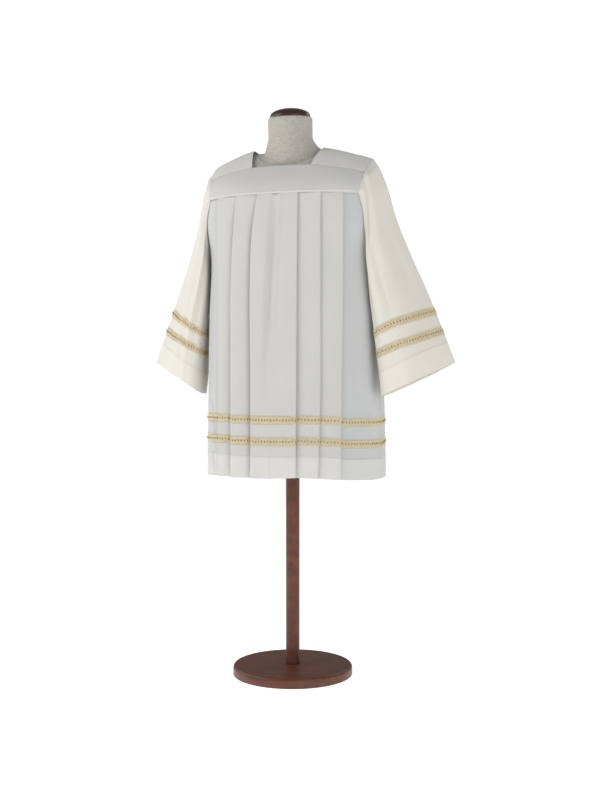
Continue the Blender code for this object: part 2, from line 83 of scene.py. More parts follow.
# Knife pleats: how far the three folds are from the centre line on each side of a panel, with 1 for the
# wearer's left
FOLD_COLUMNS = ("height", "first", "second", "third")
FOLDS = {
    (FRONT, -1): (
        (0.560, 0.0568, 0.1215, 0.1705),
        (0.870, 0.0630, 0.1258, 0.1765),
        (1.075, 0.0668, 0.1290, 0.1790),
        (1.195, 0.0640, 0.1232, 0.1800),
        (1.310, 0.0512, 0.1135, 0.1790),
    ),
    (FRONT, 1): (
        (0.560, 0.0680, 0.1265, 0.1855),
        (0.800, 0.0665, 0.1290, 0.1840),
        (1.025, 0.0645, 0.1262, 0.1845),
        (1.310, 0.0628, 0.1236, 0.1825),
    ),
    (BACK, -1): (
        (0.560, 0.0655, 0.1300, 0.1870),
        (0.820, 0.0630, 0.1275, 0.1885),
        (1.060, 0.0612, 0.1240, 0.1862),
        (1.310, 0.0600, 0.1220, 0.1850),
    ),
    (BACK, 1): (
        (0.560, 0.0630, 0.1265, 0.1885),
        (0.780, 0.0662, 0.1305, 0.1895),
        (1.100, 0.0625, 0.1238, 0.1845),
        (1.310, 0.0590, 0.1215, 0.1850),
    ),
}
# How far the folds stand off at the yoke and at the hem, a row for each fold
LIFTS = {
    (FRONT, -1): ((0.0056, 0.0085), (0.0056, 0.0078), (0.0052, 0.0064)),
    (FRONT, 1): ((0.0052, 0.0070), (0.0034, 0.0038), (0.0060, 0.0084)),
    (BACK, -1): ((0.0054, 0.0080), (0.0058, 0.0084), (0.0046, 0.0060)),
    (BACK, 1): ((0.0046, 0.0066), (0.0056, 0.0082), (0.0054, 0.0078)),
}
FOLD_SWELL = 0.12
SEWN_LIFT = 0.0028
SEWN_LENGTH = 0.011
UNDERLAP = 0.014
# How far beyond a fold the next stretch of cloth comes out, and where a trim on it starts
PAST_FOLD = 0.0010
TRIM_PAST_FOLD = 0.0012
# How far the cloth dips just beyond each fold
DIPS = {
    (FRONT, -1): (0.0076, 0.0070, 0.0040),
    (FRONT, 1): (0.0010, 0.0014, 0.0012),
    (BACK, -1): (0.0030, 0.0054, 0.0020),
    (BACK, 1): (0.0062, 0.0020, 0.0040),
}
DIP_WIDTH = 0.014
DIP_LENGTH = 0.13
# Beyond this far along the cloth from the centre line, folded parts counted, a panel is one layer thick
# The tones past this reach are darker for the one layer, and cooler as painted shade of the sides turned from
# the key light
PLEATED_REACH = 0.250

# How far each stretch of a panel hangs below its even height, at places across it from the wearer's right to
# left, two close together where a fold parts one stretch from the next. Both panels agree at the side seams.
HANG_PLACES = {
    FRONT: (
        -0.340, -0.200, -0.124, -0.121, -0.060, -0.057, 0.0,
        0.066, 0.069, 0.126, 0.182, 0.187, 0.290, 0.340,
    ),
    BACK: (
        -0.340, -0.240, -0.190, -0.186, -0.066, -0.062, 0.0,
        0.064, 0.067, 0.128, 0.131, 0.187, 0.240, 0.340,
    ),
}
HANG_HEIGHTS = (0.560, 0.640, 0.760, 0.960, 1.240)
# In tenths of a millimetre, a row for each height
HANG = {
    FRONT: (
        (64, 34, 30, 45, 40, 45, 35, -3, -5, 6, 22, 34, 46, 24),
        (20, 20, 22, 57, 50, 71, 70, 58, 30, 44, 55, 100, 98, 85),
        (20, 20, 22, 50, 45, 60, 60, 48, 26, 38, 48, 88, 86, 75),
        (10, 10, 10, 20, 18, 24, 20, 16, 8, 15, 20, 36, 40, 36),
        (0,) * 14,
    ),
    BACK: (
        (64, 40, 36, 28, 14, 24, 6, -4, -16, 4, 20, 26, 24, 24),
        (20, 34, 40, 22, 30, 46, 16, 10, -6, 16, 44, 58, 70, 85),
        (20, 30, 34, 18, 26, 40, 14, 10, -4, 14, 38, 50, 60, 75),
        (10, 12, 14, 8, 10, 18, 4, 4, 0, 6, 16, 24, 30, 36),
        (0,) * 14,
    ),
}

# Creases of the body, a row for each: troughs have a negative depth. Across is measured on the cloth from the
# centre line where the crease starts and ends, and width is half its width.
# Columns: across_top, top, across_bottom, bottom, width, depth
FRONT_CREASES = (
    (0.0010, 1.355, -0.0180, 0.800, 0.0110, -0.0105),
    (0.0140, 1.345, -0.0020, 0.880, 0.0060, 0.0044),
    (-0.034, 1.300, -0.030, 0.900, 0.016, 0.0012),
    (0.032, 1.290, 0.036, 0.760, 0.018, 0.0010),
    (0.090, 1.300, 0.094, 0.980, 0.014, -0.0012),
    (0.156, 1.280, 0.160, 1.020, 0.015, -0.0014),
    (-0.094, 1.295, -0.098, 0.940, 0.013, -0.0013),
    (-0.150, 1.290, -0.158, 0.880, 0.014, -0.0016),
    (0.210, 1.240, 0.236, 0.660, 0.018, -0.0030),
    (0.252, 1.160, 0.290, 0.560, 0.024, 0.0032),
    (-0.214, 1.230, -0.226, 0.690, 0.016, -0.0034),
    (-0.250, 1.150, -0.262, 0.560, 0.022, 0.0034),
    (-0.226, 0.770, -0.200, 0.680, 0.0055, -0.0060),
    (-0.196, 0.710, -0.214, 0.626, 0.0055, 0.0058),
    (-0.218, 0.655, -0.194, 0.565, 0.0055, -0.0056),
    (-0.300, 0.780, -0.306, 0.550, 0.018, -0.0026),
    (0.318, 0.900, 0.322, 0.550, 0.022, -0.0022),
    (0.034, 0.860, 0.020, 0.620, 0.020, -0.0009),
    (-0.030, 0.780, -0.040, 0.600, 0.016, -0.0008),
)
BACK_CREASES = (
    (0.004, 1.312, 0.010, 0.860, 0.008, -0.0022),
    (-0.032, 1.290, -0.028, 0.820, 0.017, 0.0013),
    (0.036, 1.300, 0.030, 0.930, 0.016, 0.0011),
    (0.094, 1.290, 0.098, 0.900, 0.014, -0.0014),
    (-0.088, 1.300, -0.092, 1.020, 0.014, -0.0012),
    (-0.154, 1.280, -0.158, 0.960, 0.015, -0.0015),
    (0.152, 1.290, 0.160, 0.860, 0.014, -0.0014),
    (0.214, 1.230, 0.232, 0.640, 0.018, -0.0032),
    (-0.212, 1.240, -0.234, 0.700, 0.017, -0.0028),
    (0.262, 1.150, 0.276, 0.560, 0.022, 0.0034),
    (-0.258, 1.160, -0.284, 0.560, 0.024, 0.0030),
    (-0.310, 0.860, -0.312, 0.550, 0.020, -0.0024),
    (0.306, 0.800, 0.312, 0.550, 0.018, -0.0024),
)

# Armhole, yoke and shoulders
ARMHOLE_HALF_DEPTH = 0.083
SHOULDER_TIP = 0.226
RIDGE_MIDDLE = 0.010
RIDGE_HEIGHT = 1.4385
RIDGE_START = 0.090
RIDGE_SLOPE = 0.260
TIP_START = 0.185
TIP_DROP = 2.6
RIDGE_TURN = math.pi / 2
YOKE_ROUNDNESS = 1.45
YOKE_STAND_OFF = 0.0052
YOKE_DEPTH = 0.095
NECK_TURN = {FRONT: math.radians(41), BACK: math.radians(58)}
NECK_CORNER = {FRONT: 0.084, BACK: 0.090}
NECK_AT_SHOULDER = {"left": 0.090, "right": 0.113}
SHOULDER_RISE = {"left": 0.000, "right": 0.008}

# Seams: edges that roll in, welts over their allowances, and the yoke's edge, which laps over the pleats
SEAM_ROLL = 0.0005
SEAM_ROLL_WIDTH = 0.0035
WELT = 0.0006
WELT_WIDTH = 0.0085
YOKE_LAP = 0.003
YOKE_LAP_AT_ENDS = 0.004
YOKE_LAP_SINKS = 0.0006

# Slow and quick waves of the yoke and the shoulders, and how far from a seam they are free
YOKE_WAVE = 0.0011
YOKE_RIPPLE = 0.0007
YOKE_FREED = 0.014
SHOULDER_RIPPLE = 0.0007
SHOULDER_FREED = 0.012
# Metres of a shoulder piece for each radian that it turns
SHOULDER_RADIUS = 0.11
SHOULDER_SEAM_RADIUS = 0.12
# From this turn on, the outward directions go over to those of the shoulder line
RIDGE_BLEND = 1.15

# Stitches
STITCH_PITCH = 0.0032
STITCH_LENGTH = 0.0025
STITCH_RADIUS = 0.00022
STITCH_ROW = 0.002
TURN_UP_STITCHES = TURN_UP - 0.0022
# Columns: depth up from the yoke's seam, share of its width
YOKE_STITCHES = ((WELT_WIDTH, 0.985), (YOKE_DEPTH - 0.006, 0.38))

# Sleeve: the lines of its outer and inner sides, and how far it reaches to the front and the back
SLEEVE_COLUMNS = (
    "along", "outer_x", "outer_y", "outer_z", "inner_x", "inner_y", "inner_z",
    "front_x", "front_y", "front_z", "back_x", "back_y", "back_z", "outer_squareness",
)
SLEEVE_SECTIONS = (
    (0.000, 0.444, 0.050, 0.862, 0.266, -0.012, 0.774, -0.012, -0.070, 0.000, -0.006, 0.062, -0.005, 1.30),
    (0.200, 0.370, 0.045, 1.048, 0.252, -0.008, 0.962, -0.020, -0.082, 0.000, -0.008, 0.068, -0.006, 1.40),
    (0.300, 0.326, 0.032, 1.150, 0.248, -0.002, 1.040, -0.026, -0.086, 0.000, -0.010, 0.074, -0.004, 1.65),
    (0.380, 0.288, 0.018, 1.250, 0.246, 0.004, 1.102, -0.026, -0.086, 0.000, -0.012, 0.079, 0.000, 2.00),
    (0.430, 0.262, 0.012, 1.338, 0.244, 0.010, 1.138, -0.020, -0.084, 0.000, -0.012, 0.082, 0.000, 2.30),
    (0.460, 0.246, 0.010, 1.379, 0.242, 0.012, 1.156, -0.018, -0.083, 0.000, -0.014, 0.083, 0.000, 2.40),
)
SLEEVE_TOP = 0.460
SLEEVE_HEAD = 0.020
SLEEVE_SQUARENESS = 2.4
SLEEVE_SIDE_BLEND = 0.22
# Metres of a sleeve's map for each radian round it
SLEEVE_MAP_RADIUS = 0.09
# How far the front and the back of each cuff hang below the even sleeve
SLEEVE_HANG = {"left": (0.010, -0.004), "right": (-0.010, 0.001)}
SLEEVE_HANG_LENGTH = 0.20

# Creases of the sleeves: turn is in degrees round the sleeve, 0 at its outer line and 90 at its front
# Columns: turn_top, top, turn_bottom, bottom, width_in_degrees, depth
LEFT_SLEEVE_CREASES = (
    (46, 0.500, 106, 0.340, 8, -0.0046),
    (40, 0.500, 70, 0.290, 9, 0.0046),
    (78, 0.480, 90, 0.110, 9, -0.0036),
    (52, 0.450, 62, 0.060, 11, 0.0034),
    (100, 0.330, 108, 0.120, 8, 0.0022),
    (128, 0.420, 134, 0.080, 8, -0.0026),
    (30, 0.400, 34, 0.140, 9, -0.0022),
    (146, 0.420, 152, 0.060, 10, 0.0020),
    (250, 0.450, 244, 0.080, 12, -0.0040),
    (282, 0.440, 290, 0.100, 12, 0.0034),
    (312, 0.400, 316, 0.060, 11, -0.0026),
    (222, 0.430, 214, 0.160, 10, 0.0028),
)
RIGHT_SLEEVE_CREASES = (
    (105, 0.480, 110, -0.060, 5, 0.0046),
    (88, 0.470, 94, 0.020, 8, -0.0030),
    (120, 0.450, 126, 0.060, 7, -0.0030),
    (64, 0.450, 70, 0.120, 10, 0.0026),
    (40, 0.430, 46, 0.040, 11, -0.0024),
    (138, 0.440, 144, 0.060, 9, 0.0024),
    (256, 0.440, 250, 0.140, 12, 0.0036),
    (286, 0.460, 292, 0.060, 11, -0.0038),
    (228, 0.420, 220, 0.100, 10, -0.0030),
    (316, 0.380, 320, 0.080, 12, 0.0024),
)

# Gold trims, centred at these distances from the edges of the hem and the cuffs
TRIM_WIDTH = 0.024
ON_CLOTH = 0.0001
TRIMS = (("lower", 0.100), ("upper", 0.156))
# How much further from the cuff the trims are at a sleeve's outer and inner lines
TRIM_TILT = {"left": (-0.007, 0.011), "right": (0.000, 0.017)}
GROUND_WIDTH = 0.0185
GROUND_THICKNESS = 0.0006
PLAIT_LENGTH = 0.0120
PLAIT_REACH = 0.0016
PLAIT_STRANDS = 2
PLAIT_RADIUS = 0.0009
CORE_WIDTH = 0.0060
KNOT_PITCH = 0.0086
KNOT_HEIGHT = 0.0036
KNOT_RADIUS = 0.0011
KNOT_SLANT = 0.0010
KNOT_WANDER = 0.0004
LOOP_LENGTH = 0.0056
LOOP_REACH = 0.0038
LOOP_RADIUS = 0.00045
RIB_PLACES = (0.0036, 0.0060, 0.0086)
RIB_RADIUS = 0.00040

# Dress form
# Columns: height, half_width, half_depth, middle
FORM_BODY = (
    (0.800, 0.118, 0.084, 0.012),
    (0.812, 0.148, 0.104, 0.012),
    (0.880, 0.172, 0.118, 0.014),
    (0.960, 0.174, 0.120, 0.016),
    (1.060, 0.158, 0.108, 0.012),
    (1.130, 0.152, 0.103, 0.008),
    (1.210, 0.170, 0.112, 0.006),
    (1.290, 0.192, 0.118, 0.006),
    (1.340, 0.202, 0.110, 0.007),
)
# Columns: half_width, half_depth, middle; the heights follow the shoulder pieces
FORM_SHOULDERS = (
    (0.199, 0.092, 0.010),
    (0.180, 0.084, 0.010),
    (0.145, 0.076, 0.008),
    (0.108, 0.070, 0.003),
    (0.080, 0.066, -0.004),
)
# Columns: height, half_width, half_depth, middle
FORM_NECK = (
    (1.464, 0.062, 0.062, -0.014),
    (1.483, 0.0605, 0.0600, -0.016),
    (1.518, 0.0605, 0.0600, -0.018),
    (1.524, 0.0575, 0.0570, -0.018),
)
NECK_LEAN = 0.07
FORM_CLEARANCE = 0.0016
FORM_FALL_AWAY = 0.012
FORM_TIP_START = 0.140
FORM_TIP_DROP = 3.2
CAP_RADIUS = 0.0545
CAP_EDGE = 0.005
CAP_DOME = 0.021
BASE_RADIUS = 0.165
BASE_THICKNESS = 0.028
BASE_ROUNDING = 0.009
POLE_RADIUS = 0.019

# Tones of the cloth by its layers, with painted light and shade: pleated and doubled, pleated, doubled,
# single
CLOTH_TONES_WITH_PAINTED_LIGHT = {
    # Side tones: darker for one layer, and cooler as painted shade of the sides turned from the key light
    "body_cloth": (
        (0.650, 0.640, 0.605), (0.575, 0.569, 0.546), (0.618, 0.615, 0.590), (0.535, 0.543, 0.538),
    ),
    # The sleeves' tones are lighter than the body's cloth of the same kind: painted light that the sleeves
    # catch
    "sleeve_cloth_painted_light": ((0.740, 0.712, 0.644), (0.710, 0.686, 0.615)) * 2,
    # The yoke is the shoulders' doubled cloth made darker: painted shade
    "yoke_cloth_painted_shade": ((0.575, 0.568, 0.550),) * 4,
    "shoulder_cloth": ((0.655, 0.647, 0.622),) * 4,
}
# The height of a cloth's map up to which it is doubled
DOUBLED_UP_TO = {
    "body_cloth": HEM + TURN_UP,
    "sleeve_cloth_painted_light": TURN_UP,
    "yoke_cloth_painted_shade": -1.0,
    "shoulder_cloth": -1.0,
}
# Columns: dark, light, metallic
THREADS = {
    "white_thread": ((0.62, 0.61, 0.57), (0.78, 0.77, 0.72), 0.0),
    "gold_cord": ((0.60, 0.48, 0.27), (0.88, 0.78, 0.54), 0.0),
    "brown_cord": ((0.050, 0.029, 0.010), (0.18, 0.112, 0.044), 0.0),
    "pale_thread": ((0.70, 0.60, 0.40), (0.88, 0.81, 0.64), 0.1),
}
# Columns: dark, light, scale of the grain along each axis, roughness, coat
WOODS = {
    "dark_wood": ((0.020, 0.006, 0.003), (0.062, 0.015, 0.007), (14, 60, 40), 0.45, 0.1),
    "red_wood": ((0.075, 0.017, 0.006), (0.165, 0.042, 0.014), (9, 70, 40), 0.5, 0.08),
}

# Floor, surround and lights
FLOOR_RADIUS = 30
FLOOR_SIDES = 48
FLOOR_GLOW = 0.78
SURROUND_LIGHT = 0.28
SURROUND_SEEN = 1.1
LIGHT_AIM = 0.95
# Columns: name, turn in degrees, distance, height, size, power, colour
LIGHTS = (
    ("key", -54, 3.2, 2.7, 1.6, 54, (1.0, 0.985, 0.96)),
    ("fill", 52, 3.4, 1.9, 2.0, 34, (0.985, 0.99, 1.0)),
    ("side", -100, 3.0, 1.8, 1.3, 15, (1.0, 1.0, 0.99)),
    ("rim", 150, 3.0, 2.6, 1.4, 16, (1.0, 1.0, 1.0)),
)

# Camera: its place about the form's axis, and where it looks
CAMERA_TURN = math.radians(21)
CAMERA_DISTANCE = 3.3
CAMERA_HEIGHT = 0.88
CAMERA_LENS = 54
AIM_ASIDE = 0.038
AIM_HEIGHT = 0.758

# Fineness of the meshes
FINE = 1.0


def fine(count):
    return max(3, round(count * FINE))


# Materials

def new_material(name, colour, roughness, **inputs):
    """A Principled material; other inputs are given by name with underscores for spaces."""
    material = bpy.data.materials.new(name)
    material.use_nodes = True
    surface = material.node_tree.nodes["Principled BSDF"]
    surface.inputs["Base Color"].default_value = (*colour, 1.0)
    surface.inputs["Roughness"].default_value = roughness
    for key, value in inputs.items():
        surface.inputs[key.replace("_", " ")].default_value = value
    return material


def add_node(material, kind, location=(0, 0), **settings):
    """A shader node with some of its settings and input values."""
    node = material.node_tree.nodes.new(kind)
    node.location = location
    for key, value in settings.items():
        if hasattr(node, key):
            setattr(node, key, value)
        else:
            node.inputs[key.replace("_", " ")].default_value = value
    return node


def link(material, source, target):
    """Joins two sockets."""
    material.node_tree.links.new(source, target)


def set_colour(material, socket):
    """Gives the material's surface the colour of a socket."""
    link(material, socket, material.node_tree.nodes["Principled BSDF"].inputs["Base Color"])


def combine(material, operation, first, second):
    """The sum or product of a socket and another socket or number."""
    node = add_node(material, "ShaderNodeMath", operation=operation)
    link(material, first, node.inputs[0])
    if isinstance(second, float):
        node.inputs[1].default_value = second
    else:
        link(material, second, node.inputs[1])
    return node.outputs[0]


def size_of(material, socket):
    """A value without its sign."""
    node = add_node(material, "ShaderNodeMath", operation="ABSOLUTE")
    link(material, socket, node.inputs[0])
    return node.outputs[0]


def spread_out(material, socket, low, high):
    """A factor that goes from 0 to 1 as a value goes from low to high."""
    spread = add_node(material, "ShaderNodeMapRange")
    spread.inputs["From Min"].default_value = low
    spread.inputs["From Max"].default_value = high
    link(material, socket, spread.inputs["Value"])
    return spread.outputs["Result"]


def mix_colours(material, factor, low, high):
    """A colour between two by a factor socket; the two are colours or sockets."""
    mix = add_node(material, "ShaderNodeMix", data_type="RGBA")
    link(material, factor, mix.inputs[0])
    for socket, value in ((mix.inputs[6], low), (mix.inputs[7], high)):
        if isinstance(value, tuple):
            socket.default_value = (*value, 1.0)
        else:
            link(material, value, socket)
    return mix.outputs[2]


def noise(material, vector, scale, detail=3.0, low=0.35, high=0.65):
    """Noise stretched to the whole range from 0 to 1."""
    texture = add_node(material, "ShaderNodeTexNoise", Scale=scale, Detail=detail)
    link(material, vector, texture.inputs["Vector"])
    return spread_out(material, texture.outputs["Fac"], low, high)


def stretched(material, vector, scale):
    """A vector scaled along each axis."""
    mapping = add_node(material, "ShaderNodeMapping")
    mapping.inputs["Scale"].default_value = scale
    link(material, vector, mapping.inputs["Vector"])
    return mapping.outputs["Vector"]


def weave_height(material, vector, threads_per_metre):
    """The height of a plain weave, from two crossed waves."""
    waves = []
    for direction in ("X", "Y"):
        wave = add_node(
            material, "ShaderNodeTexWave", wave_type="BANDS", bands_direction=direction,
            wave_profile="SIN", Scale=threads_per_metre / 3.2, Distortion=0.6, Detail=1.0,
        )
        link(material, vector, wave.inputs["Vector"])
        waves.append(wave.outputs["Fac"])
    return combine(material, "MULTIPLY", *waves)


def add_bump(material, height, distance, strength=1.0, after=None):
    """A bump into the material's normal, on top of another bump if one is given."""
    bump = add_node(material, "ShaderNodeBump", Strength=strength, Distance=distance)
    link(material, height, bump.inputs["Height"])
    if after is not None:
        link(material, after.outputs["Normal"], bump.inputs["Normal"])
    surface = material.node_tree.nodes["Principled BSDF"]
    link(material, bump.outputs["Normal"], surface.inputs["Normal"])
    return bump


def at_height(material, socket, height, blur):
    """A factor that goes from 0 to 1 where a value passes a height."""
    return spread_out(material, socket, height - blur, height + blur)


def make_cloth_material(name, layers, doubled_up_to):
    """Matt woven cloth. Its tone depends on its layers, as what lies beneath shows through a little, and on
    painted light and shade.
    """
    material = new_material(name, layers[1], 0.85, Sheen_Weight=0.10, Sheen_Roughness=0.5, IOR=1.4)
    place = add_node(material, "ShaderNodeTexCoord")
    slubs = noise(material, stretched(material, place.outputs["UV"], (900.0, 40.0, 1.0)), 1.0)
    clouds = noise(material, place.outputs["Object"], 6.0, detail=2.0)
    mean = combine(material, "MULTIPLY", combine(material, "ADD", slubs, clouds), 0.5)
    shades = []
    for colour in layers:
        dark = tuple(0.972 * part for part in colour)
        light = tuple(1.028 * part for part in colour)
        shades.append(mix_colours(material, mean, dark, light))
    parts = add_node(material, "ShaderNodeSeparateXYZ")
    link(material, place.outputs["UV"], parts.inputs[0])
    height = at_height(material, parts.outputs["Y"], doubled_up_to, 0.0004)
    pleated = mix_colours(material, height, shades[0], shades[1])
    plain = mix_colours(material, height, shades[2], shades[3])
    # Past the pleats one layer shows more of what lies beneath; the cooler tint there is painted shade
    beyond = at_height(material, size_of(material, parts.outputs["X"]), PLEATED_REACH, 0.003)
    set_colour(material, mix_colours(material, beyond, pleated, plain))
    weave = weave_height(material, place.outputs["UV"], 1400.0)
    first = add_bump(material, weave, 0.00015, 0.35)
    add_bump(material, slubs, 0.00012, 0.35, after=first)
    return material


def make_ground_material():
    """The trim's woven ground: pale gold thread laid on a slant."""
    material = new_material("trim_ground", (0.72, 0.63, 0.43), 0.6, Metallic=0.1, Sheen_Weight=0.1)
    place = add_node(material, "ShaderNodeTexCoord")
    twist = add_node(
        material, "ShaderNodeTexWave", wave_type="BANDS", bands_direction="DIAGONAL",
        Scale=420.0, Distortion=1.2, Detail=1.0,
    )
    link(material, place.outputs["UV"], twist.inputs["Vector"])
    specks = noise(material, place.outputs["UV"], 260.0, detail=2.0, low=0.40, high=0.60)
    both = combine(material, "MULTIPLY", twist.outputs["Fac"], specks)
    bands = mix_colours(material, both, (0.56, 0.45, 0.26), (0.90, 0.83, 0.65))
    core = mix_colours(material, specks, (0.58, 0.46, 0.27), (0.78, 0.68, 0.46))
    parts = add_node(material, "ShaderNodeSeparateXYZ")
    link(material, place.outputs["UV"], parts.inputs[0])
    outside = at_height(material, size_of(material, parts.outputs["Y"]), CORE_WIDTH / 2, 0.0003)
    set_colour(material, mix_colours(material, outside, core, bands))
    add_bump(material, twist.outputs["Fac"], 0.0004, 0.8)
    return material


def make_thread_material(name, dark, light, metallic):
    """Gold thread, darker and lighter in fine specks: the lighter ones are painted glints."""
    material = new_material(name, light, 0.42, Metallic=metallic)
    place = add_node(material, "ShaderNodeTexCoord")
    glints = noise(material, place.outputs["Object"], 900.0, detail=1.0)
    set_colour(material, mix_colours(material, glints, dark, light))
    add_bump(material, glints, 0.0002, 0.5)
    return material


def make_linen_material():
    """The dress form's cover: plain linen with a visible weave."""
    material = new_material("linen", (0.44, 0.41, 0.37), 0.9, Sheen_Weight=0.15)
    place = add_node(material, "ShaderNodeTexCoord")
    slubs = noise(material, stretched(material, place.outputs["Object"], (120.0, 120.0, 700.0)), 1.0)
    set_colour(material, mix_colours(material, slubs, (0.36, 0.335, 0.305), (0.50, 0.475, 0.435)))
    add_bump(material, slubs, 0.0004, 0.5)
    return material


def make_wood_material(name, dark, light, scale, roughness, coat):
    """Varnished wood with its grain along one direction."""
    material = new_material(name, light, roughness, Coat_Weight=coat, Coat_Roughness=0.12)
    place = add_node(material, "ShaderNodeTexCoord")
    along = stretched(material, place.outputs["Object"], scale)
    grain = noise(material, along, 1.0, detail=6.0, low=0.3, high=0.7)
    fine_scale = tuple(4 * part for part in scale)
    pores = noise(material, stretched(material, place.outputs["Object"], fine_scale), 1.0)
    broad = mix_colours(material, grain, dark, light)
    darker = tuple(0.55 * part for part in dark)
    thin = combine(material, "MULTIPLY", pores, 0.35)
    set_colour(material, mix_colours(material, thin, broad, darker))
    add_bump(material, pores, 0.0002, 0.15)
    return material


def make_materials():
    """All the materials of the piece, by name."""
    materials = {}
    for name, tones in CLOTH_TONES_WITH_PAINTED_LIGHT.items():
        materials[name] = make_cloth_material(name, tones, DOUBLED_UP_TO[name])
    for name, values in THREADS.items():
        materials[name] = make_thread_material(name, *values)
    for name, values in WOODS.items():
        materials[name] = make_wood_material(name, *values)
    materials["trim_ground"] = make_ground_material()
    materials["linen"] = make_linen_material()
    return materials


# Mesh helpers

def unit(vectors):
    """Vectors of length one."""
    vectors = np.asarray(vectors, dtype=float)
    return vectors / np.maximum(np.linalg.norm(vectors, axis=-1, keepdims=True), 1e-12)


def smooth_step(share):
    """A share from 0 to 1, eased at both ends."""
    return share * share * (3 - 2 * share)


def smooth_between(rows, slopes, start, share, span=1.0):
    """A smooth curve's value, a share of the way from one row to the next."""
    rise = smooth_step(share)
    return (
        rows[start] * (1 - rise)
        + rows[start + 1] * rise
        + slopes[start] * span * share * (1 - share) ** 2
        - slopes[start + 1] * span * share * share * (1 - share)
    )


def smooth_read(columns, table, key):
    """A row of the table at any key, by a smooth curve through each column."""
    table = np.array(table)
    keys = table[:, 0]
    key = min(max(key, keys[0]), keys[-1])
    slopes = np.gradient(table, keys, axis=0)
    start = min(np.searchsorted(keys, key, side="right") - 1, len(keys) - 2)
    span = keys[start + 1] - keys[start]
    share = (key - keys[start]) / span
    return dict(zip(columns, smooth_between(table, slopes, start, share, span)))


def make_mesh(name, points, faces, material, uv=None, smooth_angle=50):
    """An object from points and faces, with a map in metres if its points have one."""
    mesh = bpy.data.meshes.new(name)
    mesh.from_pydata(points.tolist(), [], faces)
    if uv is not None:
        layer = mesh.uv_layers.new(name="metres")
        corners = np.empty(len(mesh.loops), dtype=np.int32)
        mesh.loops.foreach_get("vertex_index", corners)
        layer.data.foreach_set("uv", uv[corners].astype(np.float32).ravel())
    mesh.shade_smooth()
    mesh.set_sharp_from_angle(angle=math.radians(smooth_angle))
    mesh.materials.append(material)
    item = bpy.data.objects.new(name, mesh)
    bpy.context.scene.collection.objects.link(item)
    return item


def grid_faces(rows, columns, start, round_tube, flip):
    """Quads of a grid of points, rows by columns."""
    row, column = np.meshgrid(
        np.arange(rows - 1), np.arange(columns if round_tube else columns - 1), indexing="ij"
    )
    beside = (column + 1) % columns
    low = row * columns
    high = low + columns
    corners = (low + column, low + beside, high + beside, high + column)
    quads = np.stack([corner.ravel() for corner in corners], axis=-1) + start
    return quads[:, ::-1] if flip else quads


def make_shell(name, outer, inner, uv, material, round_tube=False, flip=False):
    """A closed thin shell between two grids of points."""
    rows, columns = outer.shape[:2]
    count = rows * columns
    points = np.concatenate([outer.reshape(-1, 3), inner.reshape(-1, 3)])
    maps = np.concatenate([uv.reshape(-1, 2), uv.reshape(-1, 2)])
    faces = [
        grid_faces(rows, columns, 0, round_tube, flip),
        grid_faces(rows, columns, count, round_tube, not flip),
    ]
    around = np.arange(columns if round_tube else columns - 1)
    beside = (around + 1) % columns
    for row, turned in ((0, not flip), (rows - 1, flip)):
        low = row * columns
        rim = np.stack([low + around, low + beside, count + low + beside, count + low + around], axis=-1)
        faces.append(rim if not turned else rim[:, ::-1])
    if not round_tube:
        down = np.arange(rows - 1)
        for column, turned in ((0, flip), (columns - 1, not flip)):
            low = down * columns + column
            high = low + columns
            rim = np.stack([low, high, count + high, count + low], axis=-1)
            faces.append(rim if not turned else rim[:, ::-1])
    return make_mesh(name, points, np.concatenate(faces).tolist(), material, uv=maps, smooth_angle=60)


def crease_shift(table, across, along):
    """How far the creases move the cloth at points given by two coordinates."""
    shift = np.zeros(np.broadcast(across, along).shape)
    for across_top, top, across_bottom, bottom, width, depth in table:
        share = (top - along) / (top - bottom)
        inside = np.clip(share, 0.0, 1.0)
        middle = across_top + (across_bottom - across_top) * inside
        fade = np.sin(math.pi * inside) ** 0.8
        shift = shift + depth * fade * np.exp(-(((across - middle) / width) ** 2))
    return shift


# Body surface

def half_outline(height, facing):
    """The body's outline at a height, from the centre line of the front or back to the side."""
    row = smooth_read(BODY_COLUMNS, BODY_SECTIONS, height)
    reach = row["front_reach"] if facing == FRONT else row["back_reach"]
    turn = np.linspace(0, math.pi / 2, 400)
    power = 2 / row["squareness"]
    x = row["half_width"] * np.sin(turn) ** power
    y = row["middle"] + facing * reach * np.cos(turn) ** power
    distance = np.concatenate([[0], np.cumsum(np.hypot(np.diff(x), np.diff(y)))])
    return row, reach, x, y, distance


def body_points(height, facing, across, out):
    """Points on the body at distances across it from the centre line and out from its surface."""
    row, reach, x, y, distance = half_outline(height, facing)
    across = np.asarray(across, dtype=float)
    side = np.where(across < 0, -1.0, 1.0)
    point_x = np.interp(np.abs(across), distance, x)
    point_y = np.interp(np.abs(across), distance, y)
    lean = row["squareness"] - 1
    normal_x = (point_x / row["half_width"]) ** lean / row["half_width"]
    normal_y = facing * (np.abs(point_y - row["middle"]) / reach) ** lean / reach
    length = np.hypot(normal_x, normal_y)
    point_x = side * (point_x + out * normal_x / length)
    point_y = point_y + out * normal_y / length
    down = SIDE_SAG * (YOKE_SEAM - height) / (YOKE_SEAM - HEM)
    sag = down * np.minimum(1.0, np.abs(across) / distance[-1]) ** 2
    return np.stack([point_x, point_y, height - sag - hang(height, facing, across)], axis=-1)


def hang(height, facing, across):
    """How far the stretches of a panel hang below their even height."""
    rows = 0.0001 * np.array(HANG[facing])
    hangs = [np.interp(height, HANG_HEIGHTS, column) for column in rows.T]
    return np.interp(across, HANG_PLACES[facing], hangs)


def panel_reach(height, facing):
    """How far a panel reaches from the centre line: to the side seam or, higher up, to the armhole."""
    row, _, _, y, distance = half_outline(height, facing)
    if height <= UNDERARM:
        return distance[-1]
    drop = min(1.0, (YOKE_SEAM - height) / (YOKE_SEAM - UNDERARM))
    edge = ARMHOLE_HALF_DEPTH * math.sqrt(1 - drop * drop)
    return np.interp(-edge, -np.abs(y - row["middle"]), distance)


